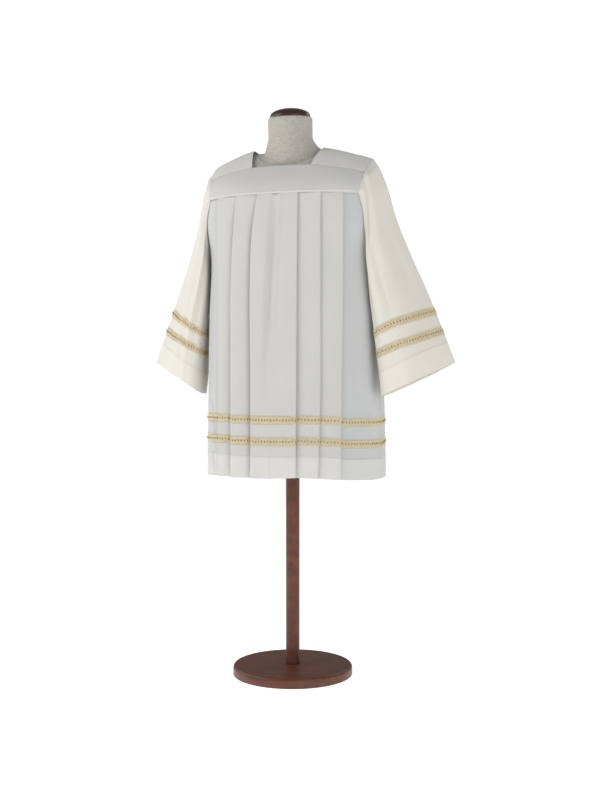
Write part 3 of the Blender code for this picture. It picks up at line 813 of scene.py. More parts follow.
def pleat_places(height, facing, side):
    """Each fold on one side of a panel, how far it stands off, and how far the cloth dips beyond it."""
    row = smooth_read(FOLD_COLUMNS, FOLDS[facing, side], height)
    edges = [row[name] for name in FOLD_COLUMNS[1:]]
    down = YOKE_SEAM - height
    share = down / (YOKE_SEAM - HEM)
    freed = 1 - math.exp(-down / SEWN_LENGTH)
    lifts = []
    for number, (at_yoke, at_hem) in enumerate(LIFTS[facing, side]):
        swell = 1 + FOLD_SWELL * math.sin(9.0 * height + 2.1 * number + 1.3 * side + 0.7 * facing)
        lifts.append(SEWN_LIFT + ((at_yoke * (1 - share) + at_hem * share) * swell - SEWN_LIFT) * freed)
    dips = [dip * min(1.0, down / DIP_LENGTH) for dip in DIPS[facing, side]]
    return edges, lifts, dips


def arc(middle, radius, start, stop, steps):
    """Points of an arc, its angles in degrees."""
    angles = np.radians(np.linspace(start, stop, steps))
    return np.stack([middle[0] + radius * np.cos(angles), middle[1] + radius * np.sin(angles)], axis=-1)


def straight(start, stop, steps):
    """Points of a straight stretch, without its last one."""
    share = np.linspace(0, 1, steps, endpoint=False)[:, None]
    return np.array(start) * (1 - share) + np.array(stop) * share


def stretch(start, dip, stop, lift, steps):
    """Points of the cloth between two folds: up out of the dip beyond one, and on to the next."""
    share = np.linspace(0, 1, steps)
    across = start + (stop - start) * share
    out = lift * share - dip * np.exp(-(((across - start) / DIP_WIDTH) ** 1.5))
    return np.stack([across, out], axis=-1)


def half_line(height, facing, side):
    """The middle of the cloth across half a panel, in and out of the rounded folds of its pleats."""
    edges, lifts, dips = pleat_places(height, facing, side)
    runs = [straight((0.0, lifts[0]), (edges[0] - lifts[0] / 4, lifts[0]), fine(26))]
    for number, (edge, lift, dip) in enumerate(zip(edges, lifts, dips)):
        radius = lift / 4
        runs.append(arc((edge - radius, lift - radius), radius, 90, -90, 7)[:-1])
        runs.append(straight((edge - radius, lift / 2), (edge - UNDERLAP + radius, lift / 2), 4))
        runs.append(arc((edge - UNDERLAP + radius, radius), radius, 90, 270, 7)[:-1])
        sink = np.linspace(0, 1, 7)[:-1]
        under = edge - UNDERLAP + radius
        runs.append(np.stack([under + (edge + PAST_FOLD - under) * sink, -dip * smooth_step(sink)], axis=-1))
        if number + 1 < len(edges):
            next_lift = lifts[number + 1]
            stop = edges[number + 1] - next_lift / 4
            runs.append(stretch(edge + PAST_FOLD, dip, stop, next_lift, fine(22))[:-1])
    reach = panel_reach(height, facing) - SEAM_GAP / 2
    runs.append(stretch(edges[-1] + PAST_FOLD, dips[-1], reach, 0.0, fine(38)))
    return np.concatenate(runs)


def whole_line(height, facing):
    """The middle of the cloth across a whole panel."""
    left = half_line(height, facing, -1)[:0:-1] * np.array([-1.0, 1.0])
    return np.concatenate([left, half_line(height, facing, 1)])


def move_line(line, distance):
    """A line of (across, out) moved outwards, with mitred corners."""
    steps = unit(np.diff(line, axis=0))
    sides = np.stack([-steps[:, 1], steps[:, 0]], axis=-1)
    before = np.concatenate([sides[:1], sides])
    after = np.concatenate([sides, sides[-1:]])
    mitre = (before + after) / (1 + np.sum(before * after, axis=-1, keepdims=True))
    return line + distance * mitre


def panel_heights():
    """Rows of a panel, closer together at the turn-up's edge."""
    heights = set(np.linspace(HEM, YOKE_SEAM - SEAM_GAP, fine(96)).tolist())
    heights |= {HEM + TURN_UP - TURN_UP_BEVEL, HEM + TURN_UP + TURN_UP_BEVEL, HEM + EDGE_ROW}
    return sorted(heights)


def body_shift(line, height, facing):
    """How far creases and the turn-up move the cloth of a panel out at a height."""
    creases = FRONT_CREASES if facing == FRONT else BACK_CREASES
    shift = crease_shift(creases, line[:, 0], height)
    if height < HEM + TURN_UP:
        shift = shift + TURN_UP_STEP
    edge = panel_reach(height, facing) - np.abs(line[:, 0])
    shift = shift - SEAM_ROLL * np.exp(-edge / SEAM_ROLL_WIDTH)
    under_seam = YOKE_SEAM - height
    return shift - 0.5 * SEAM_ROLL * math.exp(-under_seam / SEAM_ROLL_WIDTH)


def make_panel(label, facing, material):
    """A pleated panel from the hem to the yoke's seam."""
    layers = {CLOTH / 2: [], -CLOTH / 2: []}
    maps = []
    for height in panel_heights():
        line = whole_line(height, facing)
        shift = body_shift(line, height, facing)
        for distance, rows in layers.items():
            moved = move_line(line, distance)
            rows.append(body_points(height, facing, moved[:, 0], moved[:, 1] + shift))
        lengths = np.concatenate([[0], np.cumsum(np.linalg.norm(np.diff(line, axis=0), axis=-1))])
        maps.append(np.stack([lengths - lengths[-1] / 2, np.full_like(lengths, height)], axis=-1))
    outer, inner = (np.array(rows) for rows in layers.values())
    name = f"{label}_cloth"
    item = make_shell(name, outer, inner, np.array(maps), material, flip=facing == BACK)
    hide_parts(f"{label}_panel")
    return item


# Yoke and shoulders

def ridge_height(x):
    """The height of the shoulder line at distances from the middle."""
    across = np.abs(x)
    tip = TIP_DROP * np.maximum(0.0, across - TIP_START) ** 2
    return RIDGE_HEIGHT - RIDGE_SLOPE * np.maximum(0.0, across - RIDGE_START) - tip


def seam_depth(x, facing):
    """How far the body reaches to the front or back of the ridge at the yoke's seam."""
    row, reach, _, _, _ = half_outline(YOKE_SEAM, facing)
    share = np.minimum(1.0, np.abs(x) / row["half_width"])
    power = row["squareness"]
    return row["middle"] + facing * reach * (1 - share ** power) ** (1 / power) - RIDGE_MIDDLE


def yoke_base(x, turn, facing):
    """Points on the yoke's surface, turned up from the seam (0) to the shoulder line (a right angle)."""
    power = 2 / YOKE_ROUNDNESS
    y = RIDGE_MIDDLE + seam_depth(x, facing) * np.maximum(0.0, np.cos(turn)) ** power
    z = YOKE_SEAM + (ridge_height(x) - YOKE_SEAM) * np.sin(turn) ** power
    return np.stack(np.broadcast_arrays(x, y, z), axis=-1)


def yoke_normal(x, turn, facing):
    """The outward directions of the yoke's surface."""
    step = 0.004
    x, turn = np.broadcast_arrays(np.asarray(x, dtype=float), np.asarray(turn, dtype=float))
    inner_turn = np.clip(turn, step, RIDGE_TURN - step)
    along_x = yoke_base(x + step, inner_turn, facing) - yoke_base(x - step, inner_turn, facing)
    along_turn = yoke_base(x, inner_turn + step, facing) - yoke_base(x, inner_turn - step, facing)
    normal = unit(np.cross(along_x, along_turn))
    normal = np.where(normal[..., 1:2] * facing < 0, -normal, normal)
    slope = RIDGE_SLOPE * (np.abs(x) > RIDGE_START) + 2 * TIP_DROP * np.maximum(0.0, np.abs(x) - TIP_START)
    top = unit(np.stack([np.sign(x) * slope, 0 * x, 1 + 0 * x], axis=-1))
    share = np.clip((turn - RIDGE_BLEND) / (RIDGE_TURN - RIDGE_BLEND), 0, 1)[..., None] ** 2
    return unit(normal * (1 - share) + top * share)


def armhole_width(turn, facing):
    """Half the distance between the armholes along the yoke and the shoulders."""
    at_seam = body_points(YOKE_SEAM, facing, [panel_reach(YOKE_SEAM, facing)], 0.0)[0][0]
    return at_seam + (SHOULDER_TIP - at_seam) * np.sin(turn) ** 2


def roll(distance):
    """How far a seamed edge rolls in at a distance from it."""
    return -SEAM_ROLL * np.exp(-np.abs(distance) / SEAM_ROLL_WIDTH)


def welt(distance):
    """How far the allowance of a seam raises the cloth beside it."""
    return WELT * np.exp(-(((np.abs(distance) - WELT_WIDTH / 2) / (0.42 * WELT_WIDTH)) ** 4))


def neck_width(turn, facing, label):
    """Half the width of the neck opening along the inner edges of the shoulder pieces."""
    up = (turn - NECK_TURN[facing]) / (RIDGE_TURN - NECK_TURN[facing])
    rounded = 1 - np.maximum(0.0, 1 - up) ** 1.4
    return NECK_CORNER[facing] + (NECK_AT_SHOULDER[label] - NECK_CORNER[facing]) * rounded


def yoke_middle(share, depth, facing):
    """The middle of a yoke's cloth, at shares across it and depths up from its seam, and where out is."""
    turns = NECK_TURN[facing] * np.maximum(0.0, depth) / YOKE_DEPTH
    x = share * armhole_width(turns, facing)
    lap = np.maximum(0.0, -depth) * (1 + YOKE_LAP_AT_ENDS / YOKE_LAP * share ** 4)
    base = yoke_base(x, turns, facing)
    base[..., 2] -= lap
    normal = yoke_normal(x, turns, facing)
    edge = armhole_width(turns, facing) - np.abs(x)
    over_neck = np.abs(x) < NECK_CORNER[facing]
    shift = roll(edge) + welt(edge - 0.002) + welt(np.maximum(0.0, depth)) * (depth > -YOKE_LAP / 2)
    shift = shift + np.where(over_neck, 0.35, 1.0) * roll(YOKE_DEPTH - depth)
    shift = shift - YOKE_LAP_SINKS * np.exp(-(depth + YOKE_LAP) / 0.002)
    waves = YOKE_WAVE * np.sin(17 * x + 2.0 * facing) * np.sin(math.pi * turns / NECK_TURN[facing])
    waves = waves + YOKE_RIPPLE * np.sin(43 * x + 20 * depth)
    shift = shift + waves * (1 - np.exp(-np.maximum(0.0, depth) / YOKE_FREED))
    return base + (YOKE_STAND_OFF + shift)[..., None] * normal, normal, x


def make_yoke(label, facing, material):
    """The band across the chest or the back, between the pleats and the neck."""
    depths = np.concatenate([
        np.linspace(-YOKE_LAP, 0, 4),
        np.linspace(0.0012, 0.0100, fine(9)),
        np.linspace(0.0130, YOKE_DEPTH, fine(28)),
    ])[:, None]
    share = np.linspace(-1, 1, fine(150))[None, :]
    middle, normal, x = yoke_middle(*np.broadcast_arrays(share, depths), facing)
    outer = middle + YOKE_CLOTH / 2 * normal
    inner = middle - YOKE_CLOTH / 2 * normal
    maps = np.stack(np.broadcast_arrays(x, depths), axis=-1)
    item = make_shell(f"{label}_yoke_cloth_painted_shade", outer, inner, maps, material, flip=facing == BACK)
    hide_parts(f"{label}_yoke")
    return item


def yoke_strip(facing, depth, reach):
    """The line of stitches along a yoke at a depth up from its seam, over a share of its width."""
    share = np.linspace(-reach, reach, fine(120))
    low, normal, _ = yoke_middle(share, np.full_like(share, depth - STITCH_ROW / 2), facing)
    high, _, _ = yoke_middle(share, np.full_like(share, depth + STITCH_ROW / 2), facing)
    out = YOKE_CLOTH / 2 * normal
    return Strip(low + out, high + out, normal, STITCH_ROW)


def make_shoulder(label, side, material):
    """The piece over one shoulder, from the front yoke to the back yoke."""
    seam_turn = SEAM_GAP / SHOULDER_SEAM_RADIUS
    front = np.linspace(NECK_TURN[FRONT] + seam_turn, RIDGE_TURN, fine(24))
    back = np.linspace(RIDGE_TURN, NECK_TURN[BACK] + seam_turn, fine(14))[1:]
    share = np.linspace(0, 1, fine(48))[None, :]
    layers = []
    for turns, facing in ((front[:, None], FRONT), (back[:, None], BACK)):
        inner_edge = neck_width(turns, facing, label)
        x = inner_edge + (armhole_width(turns, facing) - inner_edge) * share
        base = yoke_base(x, turns, facing)
        normal = yoke_normal(x, turns, facing)
        seam = SHOULDER_RADIUS * (turns - NECK_TURN[facing])
        edge = armhole_width(turns, facing) - x
        shift = roll(seam) + roll(edge) + 0.35 * roll(x - inner_edge) + welt(edge - 0.002)
        ripple = SHOULDER_RIPPLE * np.sin(60 * x + 4 * turns)
        shift = shift + ripple * (1 - np.exp(-edge / SHOULDER_FREED))
        up = (turns - NECK_TURN[facing]) / (RIDGE_TURN - NECK_TURN[facing])
        shift = shift + SHOULDER_RISE[label] * smooth_step(up) * (1 - share ** 2)
        layers.append((base, normal, shift, x, facing * (RIDGE_TURN - turns) * SHOULDER_RADIUS + 0 * x))
    base, normal, shift, across, along = (np.concatenate(parts) for parts in zip(*layers))
    flip = np.array([side, 1.0, 1.0])
    outer = (base + (YOKE_STAND_OFF + YOKE_CLOTH / 2 + shift)[..., None] * normal) * flip
    inner = (base + (YOKE_STAND_OFF - YOKE_CLOTH / 2 + shift)[..., None] * normal) * flip
    maps = np.stack([across, along], axis=-1)
    item = make_shell(f"shoulder_{label}_cloth", outer, inner, maps, material, flip=side < 0)
    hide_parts(f"shoulder_{label}")
    return item


# Armhole and sleeve

def armhole_half(facing):
    """Points and outward directions of half the armhole, from the shoulder tip down to the underarm."""
    turns = np.linspace(RIDGE_TURN, 0, 40)
    width = armhole_width(turns, facing)
    normals = yoke_normal(width, turns, facing)
    points = yoke_base(width, turns, facing) + (YOKE_STAND_OFF + YOKE_CLOTH / 2) * normals
    low_points = []
    low_normals = []
    for drop in np.linspace(0, 1, 40)[1:]:
        height = YOKE_SEAM - (YOKE_SEAM - UNDERARM) * math.sin(drop * math.pi / 2)
        reach = panel_reach(height, facing)
        near, far = body_points(height, facing, [reach, reach], np.array([CLOTH / 2, 1.0]))
        low_points.append(near)
        low_normals.append(unit(far - near))
    return np.concatenate([points, low_points]), np.concatenate([normals, low_normals])


def armhole_ring(around):
    """The armhole's points, outward directions and directions into the hole, at turns around the sleeve."""
    points = np.empty((len(around), 3))
    normals = np.empty((len(around), 3))
    for facing, chosen, turns in (
        (FRONT, around <= math.pi, around), (BACK, around > math.pi, 2 * math.pi - around),
    ):
        half_points, half_normals = armhole_half(facing)
        lengths = np.linalg.norm(np.diff(half_points, axis=0), axis=-1)
        key = np.concatenate([[0], np.cumsum(lengths)]) / lengths.sum() * math.pi
        for axis in range(3):
            points[chosen, axis] = np.interp(turns[chosen], key, half_points[:, axis])
            normals[chosen, axis] = np.interp(turns[chosen], key, half_normals[:, axis])
    normals = unit(normals)
    tangents = unit(np.roll(points, -1, axis=0) - np.roll(points, 1, axis=0))
    into_hole = unit(np.cross(tangents, normals))
    middle = points.mean(axis=0)
    away = np.sum(into_hole * (middle - points), axis=-1, keepdims=True) < 0
    return points, normals, np.where(away, -into_hole, into_hole)


def sleeve_ring(along, around):
    """A ring of the sleeve at a distance from the cuff, on the wearer's left."""
    row = smooth_read(SLEEVE_COLUMNS, SLEEVE_SECTIONS, along)
    outer = np.array([row["outer_x"], row["outer_y"], row["outer_z"]])
    inner = np.array([row["inner_x"], row["inner_y"], row["inner_z"]])
    front = np.array([row["front_x"], row["front_y"], row["front_z"]])
    back = np.array([row["back_x"], row["back_y"], row["back_z"]])
    outside = 1 / (1 + np.exp(-np.cos(around) / SLEEVE_SIDE_BLEND))
    power = 2 / (SLEEVE_SQUARENESS + (row["outer_squareness"] - SLEEVE_SQUARENESS) * outside)[:, None]
    cosine = np.cos(around)[:, None]
    sine = np.sin(around)[:, None]
    outwards = np.sign(cosine) * np.abs(cosine) ** power
    forwards = np.abs(sine) ** power
    reach = np.where(sine >= 0, front, back)
    return (outer + inner) / 2 + (outer - inner) / 2 * outwards + reach * forwards


def grid_normals(grid):
    """Outward directions of a round tube's grid of rings."""
    around = np.roll(grid, -1, axis=1) - np.roll(grid, 1, axis=1)
    along = np.gradient(grid, axis=0)
    normals = unit(np.cross(around, along))
    outwards = np.sum(normals * (grid - grid.mean(axis=1, keepdims=True)))
    return normals if outwards > 0 else -normals


def sleeve_rings(around):
    """Rings of a sleeve from the armhole to the cuff, with how far each is from the cuff."""
    points, normals, into_hole = armhole_ring(around)
    top = sleeve_ring(SLEEVE_TOP, around)
    leaving = unit(top - points)
    slant = np.arctan2(np.sum(leaving * normals, axis=-1), np.sum(leaving * into_hole, axis=-1))
    slant = np.clip(slant, 0, math.pi / 2)[:, None]
    seam_ring = points + SEAM_GAP * 1.3 * into_hole + SEAM_GAP * np.sin(slant) * normals
    inwards = into_hole * np.sin(slant) - normals * np.cos(slant)
    heights = set(np.linspace(0, SLEEVE_TOP, fine(74)).tolist())
    heights |= {TURN_UP - TURN_UP_BEVEL, TURN_UP + TURN_UP_BEVEL, EDGE_ROW}
    heights = sorted(heights, reverse=True)
    rings = [seam_ring]
    places = [SLEEVE_TOP + SLEEVE_HEAD]
    for share in (0.2, 0.4, 0.6, 0.8):
        rings.append(seam_ring * (1 - share) + top * share)
        places.append(SLEEVE_TOP + SLEEVE_HEAD * (1 - share))
    for height in heights:
        rings.append(sleeve_ring(height, around))
        places.append(height)
    return np.array(rings), np.array(places), inwards


def sleeve_shape(label):
    """The sleeve's grid with its creases, its outward directions and its map."""
    around = np.linspace(0, 2 * math.pi, fine(220), endpoint=False)
    rings, places, inwards = sleeve_rings(around)
    creases = LEFT_SLEEVE_CREASES if label == "left" else RIGHT_SLEEVE_CREASES
    low = np.clip(1 - places / SLEEVE_HANG_LENGTH, 0, 1)[:, None]
    at_front, at_back = SLEEVE_HANG[label]
    sine = np.sin(around)[None, :]
    rings[..., 2] -= low * np.where(sine > 0, at_front, at_back) * np.abs(sine) ** 1.4
    normals = grid_normals(rings)
    shift = crease_shift(creases, np.degrees(around)[None, :], places[:, None])
    shift = shift + np.where(places < TURN_UP, TURN_UP_STEP, 0.0)[:, None]
    rings = rings + shift[..., None] * normals
    return rings, places, inwards, around


def make_sleeve(label, side, material):
    """A hollow sleeve from the armhole to the open cuff."""
    rings, places, inwards, around = sleeve_shape(label)
    normals = grid_normals(rings)
    inner = rings - CLOTH * normals
    inner[0] = rings[0] + CLOTH * inwards
    spread = around * SLEEVE_MAP_RADIUS
    maps = np.stack(np.broadcast_arrays(spread[None, :], places[:, None]), axis=-1)
    flip = np.array([side, 1.0, 1.0])
    item = make_shell(
        f"sleeve_{label}_cloth", rings * flip, inner * flip, maps, material, round_tube=True, flip=side < 0
    )
    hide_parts(f"sleeve_{label}")
    return item


# Trims

class Strip:
    """A stretch of cloth that a trim follows: a lower and an upper edge line with outward directions."""

    def __init__(self, low, high, normals, width):
        self.width = width
        self.low = low
        self.high = high
        self.normals = normals
        middle = (low + high) / 2
        steps = np.linalg.norm(np.diff(middle, axis=0), axis=-1)
        self.distance = np.concatenate([[0], np.cumsum(steps)])
        self.length = self.distance[-1]

    def at(self, along, across, out):
        """Points at distances along the strip, across it from its middle, and out from it."""
        share = np.asarray(across) / self.width + 0.5
        points = np.empty((len(along), 3))
        for axis in range(3):
            low = np.interp(along, self.distance, self.low[:, axis])
            high = np.interp(along, self.distance, self.high[:, axis])
            normal = np.interp(along, self.distance, self.normals[:, axis])
            points[:, axis] = low * (1 - share) + high * share + out * normal
        return points


def add_strand(parts, points, radius, sides):
    """Adds a thin tube along points to the list of parts."""
    tangents = unit(np.gradient(points, axis=0))
    helper = np.array([0.0, 0.0, 1.0])
    flat = np.abs(tangents @ helper) > 0.95
    first = unit(np.cross(tangents, helper))
    first[flat] = unit(np.cross(tangents[flat], np.array([1.0, 0.0, 0.0])))
    second = np.cross(tangents, first)
    angles = 2 * math.pi * np.arange(sides) / sides
    cosine = np.cos(angles)[None, :, None]
    sine = np.sin(angles)[None, :, None]
    grid = points[:, None, :] + radius * (cosine * first[:, None, :] + sine * second[:, None, :])
    faces = grid_faces(len(points), sides, 0, True, True).tolist()
    faces.append(list(range(sides)))
    faces.append([(len(points) - 1) * sides + side for side in range(sides)][::-1])
    parts.append((grid.reshape(-1, 3), faces))


def join_parts(name, parts, material):
    """One object from many small meshes."""
    points = []
    faces = []
    start = 0
    for part_points, part_faces in parts:
        points.append(part_points)
        faces += [[start + corner for corner in face] for face in part_faces]
        start += len(part_points)
    return make_mesh(name, np.concatenate(points), faces, material)


def add_plait(parts, strip):
    """The raised plait of cords along the middle of a trim."""
    turns = max(1, round(strip.length / PLAIT_LENGTH))
    steps = turns * fine(11) + 1
    along = np.linspace(0, strip.length, steps)
    for strand in range(PLAIT_STRANDS):
        phase = 2 * math.pi * (turns * along / strip.length + strand / PLAIT_STRANDS)
        across = PLAIT_REACH * np.sin(phase)
        out = 0.6 * GROUND_THICKNESS + PLAIT_RADIUS * (0.5 + 0.4 * np.sin(2 * phase))
        add_strand(parts, strip.at(along, across, out), PLAIT_RADIUS, 5)


def add_knots(parts, strip):
    """The dark knots across the plait, not quite in line and not quite alike."""
    knots = max(1, round(strip.length / KNOT_PITCH))
    spread = np.array([-0.5, -0.2, 0.2, 0.5])
    for number in range(knots):
        height = KNOT_HEIGHT * (1.0 + 0.3 * math.sin(3.7 * number))
        along = (number + 0.5) * strip.length / knots + KNOT_SLANT * spread
        across = KNOT_WANDER * math.sin(2.4 * number) + height * spread
        out = GROUND_THICKNESS + PLAIT_RADIUS * np.array([0.5, 1.3, 1.3, 0.5])
        add_strand(parts, strip.at(along, across, out), KNOT_RADIUS, 6)


def add_loops(parts, strip):
    """The looped threads along both edges of a trim, and a thin cord inside each."""
    loops = max(1, round(strip.length / LOOP_LENGTH))
    along = np.linspace(0, strip.length, loops * fine(8) + 1)
    wave = np.abs(np.sin(math.pi * loops * along / strip.length)) ** 0.7
    for side in (-1, 1):
        across = side * (GROUND_WIDTH / 2 - 0.0006 + LOOP_REACH * wave)
        add_strand(parts, strip.at(along, across, LOOP_RADIUS), LOOP_RADIUS, 4)
        ribbed = np.linspace(0, strip.length, max(2, round(strip.length / 0.006)))
        for place in RIB_PLACES:
            line = strip.at(ribbed, side * place + 0 * ribbed, GROUND_THICKNESS + 0.0002)
            add_strand(parts, line, RIB_RADIUS, 5)


def add_ground(strips):
    """The flat woven ground of a trim, with its map in metres."""
    grounds = []
    for strip in strips:
        along = np.linspace(0, strip.length, max(3, round(strip.length / 0.004)))
        rows = np.linspace(-GROUND_WIDTH / 2, GROUND_WIDTH / 2, 7)
        outer = np.array([strip.at(along, row + 0 * along, GROUND_THICKNESS) for row in rows])
        inner = np.array([strip.at(along, row + 0 * along, 0.00005) for row in rows])
        maps = np.stack(np.broadcast_arrays(along[None, :], rows[:, None]), axis=-1)
        grounds.append((outer, inner, maps))
    return grounds


def make_trim(name, node, strips, materials, flip):
    """A whole trim: its ground, its plait and its looped edges."""
    grounds = [
        make_shell(f"{name}_ground_{number}", outer, inner, maps, materials["trim_ground"], flip=flip)
        for number, (outer, inner, maps) in enumerate(add_ground(strips), start=1)
    ]
    plait_parts = []
    knot_parts = []
    loop_parts = []
    for strip in strips:
        add_plait(plait_parts, strip)
        add_knots(knot_parts, strip)
        add_loops(loop_parts, strip)
    plait = join_parts(f"{name}_plait", plait_parts, materials["gold_cord"])
    knots = join_parts(f"{name}_knots", knot_parts, materials["brown_cord"])
    loops = join_parts(f"{name}_loops", loop_parts, materials["pale_thread"])
    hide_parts(node)
    return [*grounds, plait, knots, loops]


def add_stitches(parts, strip):
    """A row of short stitches along a strip."""
    stitches = int(strip.length / STITCH_PITCH)
    for number in range(stitches):
        along = number * STITCH_PITCH + np.array([0.0, 0.5, 1.0]) * STITCH_LENGTH
        out = STITCH_RADIUS * np.array([0.9, 1.7, 0.9])
        add_strand(parts, strip.at(along, np.zeros(3), out), STITCH_RADIUS, 4)


def make_stitches(name, strips, material):
    """All the stitches of one piece, in one mesh."""
    parts = []
    for strip in strips:
        add_stitches(parts, strip)
    return join_parts(name, parts, material)


def panel_strips(facing, above_hem, width=TRIM_WIDTH):
    """The stretches of a panel that show a trim or a row of stitches, from fold to fold."""
    middle = HEM + above_hem
    strips = []
    for start, stop in visible_runs():
        edges = []
        normals = None
        for shift in (-width / 2, width / 2):
            height = middle + shift
            line = run_line(start, stop, height, facing)
            moved = move_line(line, CLOTH / 2 + ON_CLOTH)
            moved[:, 1] += body_shift(line, height, facing)
            edges.append(body_points(height, facing, moved[:, 0], moved[:, 1]))
            far = move_line(line, CLOTH / 2 + ON_CLOTH + 0.01)
            far[:, 1] += body_shift(line, height, facing)
            normals = unit(body_points(height, facing, far[:, 0], far[:, 1]) - edges[-1])
        strips.append(Strip(edges[0], edges[1], normals, width))
    return strips


def visible_runs():
    """The stretches between folds across a panel: pairs of fold numbers, negative on the wearer's right."""
    folds = len(FOLD_COLUMNS) - 1
    runs = [(-1, 1)]
    for number in range(1, folds + 1):
        runs.append((number, number + 1))
        runs.append((-number, -number - 1))
    return runs


def run_line(start, stop, height, facing):
    """The middle of the cloth along one visible stretch of a panel at a height."""
    if start == -1 and stop == 1:
        left = run_half(0, 1, height, facing, -1)[:0:-1] * np.array([-1.0, 1.0])
        return np.concatenate([left, run_half(0, 1, height, facing, 1)])
    side = 1 if stop > 0 else -1
    half = run_half(abs(start), abs(stop), height, facing, side)
    return half if side > 0 else half[::-1] * np.array([-1.0, 1.0])


def run_half(start, stop, height, facing, side):
    """One visible stretch on one side, from under the fold before it to its own fold or the side seam."""
    edges, lifts, dips = pleat_places(height, facing, side)
    if stop > len(edges):
        reach = panel_reach(height, facing) - SEAM_GAP / 2
        return stretch(edges[start - 1] + TRIM_PAST_FOLD, dips[start - 1], reach, 0.0, fine(38))
    edge = edges[stop - 1]
    lift = lifts[stop - 1]
    radius = lift / 4
    if start == 0:
        run = straight((0.0, lift), (edge - radius, lift), fine(26))
    else:
        past = edges[start - 1] + TRIM_PAST_FOLD
        run = stretch(past, dips[start - 1], edge - radius, lift, fine(26))[:-1]
    return np.concatenate([run, arc((edge - radius, lift - radius), radius, 90, -30, 5)])


def sleeve_strips(label, side, above_cuff, width=TRIM_WIDTH):
    """The ring of a sleeve that a trim or a row of stitches follows, alone in a list."""
    rings, places, _, around = sleeve_shape(label)
    normals = grid_normals(rings)
    at_outer, at_inner = TRIM_TILT[label] if above_cuff > TURN_UP else (0.0, 0.0)
    tilt = at_outer + (at_inner - at_outer) * (1 - np.cos(around)) / 2
    column = np.arange(len(around))
    edges = []
    between = []
    for shift in (-width / 2, width / 2):
        target = above_cuff + shift + tilt
        high = np.searchsorted(-places, -target)
        share = ((places[high - 1] - target) / (places[high - 1] - places[high]))[:, None]
        edges.append(rings[high - 1, column] * (1 - share) + rings[high, column] * share)
        between.append(normals[high - 1, column] * (1 - share) + normals[high, column] * share)
    normal = unit(between[0] + between[1])
    flip = np.array([side, 1.0, 1.0])
    low, high, normal = (np.concatenate([ring, ring[:1]]) * flip for ring in (*edges, normal))
    return [Strip(low + ON_CLOTH * normal, high + ON_CLOTH * normal, normal, width)]


# Dress form

def under_shoulder(x, y):
    """The form's height just under the shoulder pieces, falling away from them to the front and back."""
    heights = np.empty_like(x)
    for facing, chosen in ((FRONT, y < RIDGE_MIDDLE), (BACK, y >= RIDGE_MIDDLE)):
        away = np.minimum(1.0, np.abs(y - RIDGE_MIDDLE) / np.abs(seam_depth(x, facing)))
        rise = (1 - away ** YOKE_ROUNDNESS) ** (1 / YOKE_ROUNDNESS)
        cloth = YOKE_SEAM + (ridge_height(x) - YOKE_SEAM) * rise
        tip = FORM_TIP_DROP * np.maximum(0.0, np.abs(x) - FORM_TIP_START) ** 2
        height = cloth + YOKE_STAND_OFF - YOKE_CLOTH / 2 - FORM_CLEARANCE - FORM_FALL_AWAY * away - tip
        heights[chosen] = height[chosen]
    return heights


def turned_rings(rings, name, material):
    """A closed body from a stack of rings of points, capped by a point at each end."""
    rings = np.array(rings)
    count, around = rings.shape[:2]
    points = np.concatenate([[rings[0].mean(axis=0)], rings.reshape(-1, 3), [rings[-1].mean(axis=0)]])
    faces = grid_faces(count, around, 1, True, False).tolist()
    for column in range(around):
        beside = (column + 1) % around
        faces.append([0, 1 + beside, 1 + column])
        last = 1 + (count - 1) * around
        faces.append([last + column, last + beside, len(points) - 1])
    angle = np.tile(np.arange(around) / around, count)
    maps = np.concatenate([[[0, 0]], np.stack([angle, points[1:-1, 2]], axis=-1), [[0, 0]]])
    return make_mesh(name, points, faces, material, uv=maps, smooth_angle=35)


def make_torso(material):
    """The linen-covered torso and neck, with smooth curves between its sections."""
    around = np.linspace(0, 2 * math.pi, fine(120), endpoint=False)

    def ring(half_width, half_depth, middle, height=None, lean=0.0):
        x = half_width * np.cos(around)
        y = middle + half_depth * np.sin(around)
        z = under_shoulder(x, y) if height is None else height + lean * (y - middle)
        return np.stack([x, y, z], axis=-1)

    key_rings = [ring(*sizes, height) for height, *sizes in FORM_BODY]
    key_rings += [ring(*sizes) for sizes in FORM_SHOULDERS]
    key_rings += [ring(*sizes, height, NECK_LEAN) for height, *sizes in FORM_NECK]
    key_rings = np.array(key_rings)
    keys = np.arange(len(key_rings))
    slopes = np.gradient(key_rings, axis=0)
    rings = []
    for key in np.linspace(0, keys[-1], (len(keys) - 1) * 5 + 1):
        start = min(int(key), len(keys) - 2)
        rings.append(smooth_between(key_rings, slopes, start, key - start))
    item = turned_rings(rings, "torso_cover", material)
    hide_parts("form_torso")
    return item


def make_turned(name, node, profile, material, middle=0.0, lean=0.0):
    """A turned piece from a profile of (radius, height); a lean tilts it with the neck."""
    around = np.linspace(0, 2 * math.pi, fine(128), endpoint=False)
    rings = []
    for radius, height in profile:
        depth = radius * np.sin(around)
        rings.append(np.stack([radius * np.cos(around), middle + depth, height + lean * depth], axis=-1))
    item = turned_rings(rings, name, material)
    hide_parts(node)
    return item


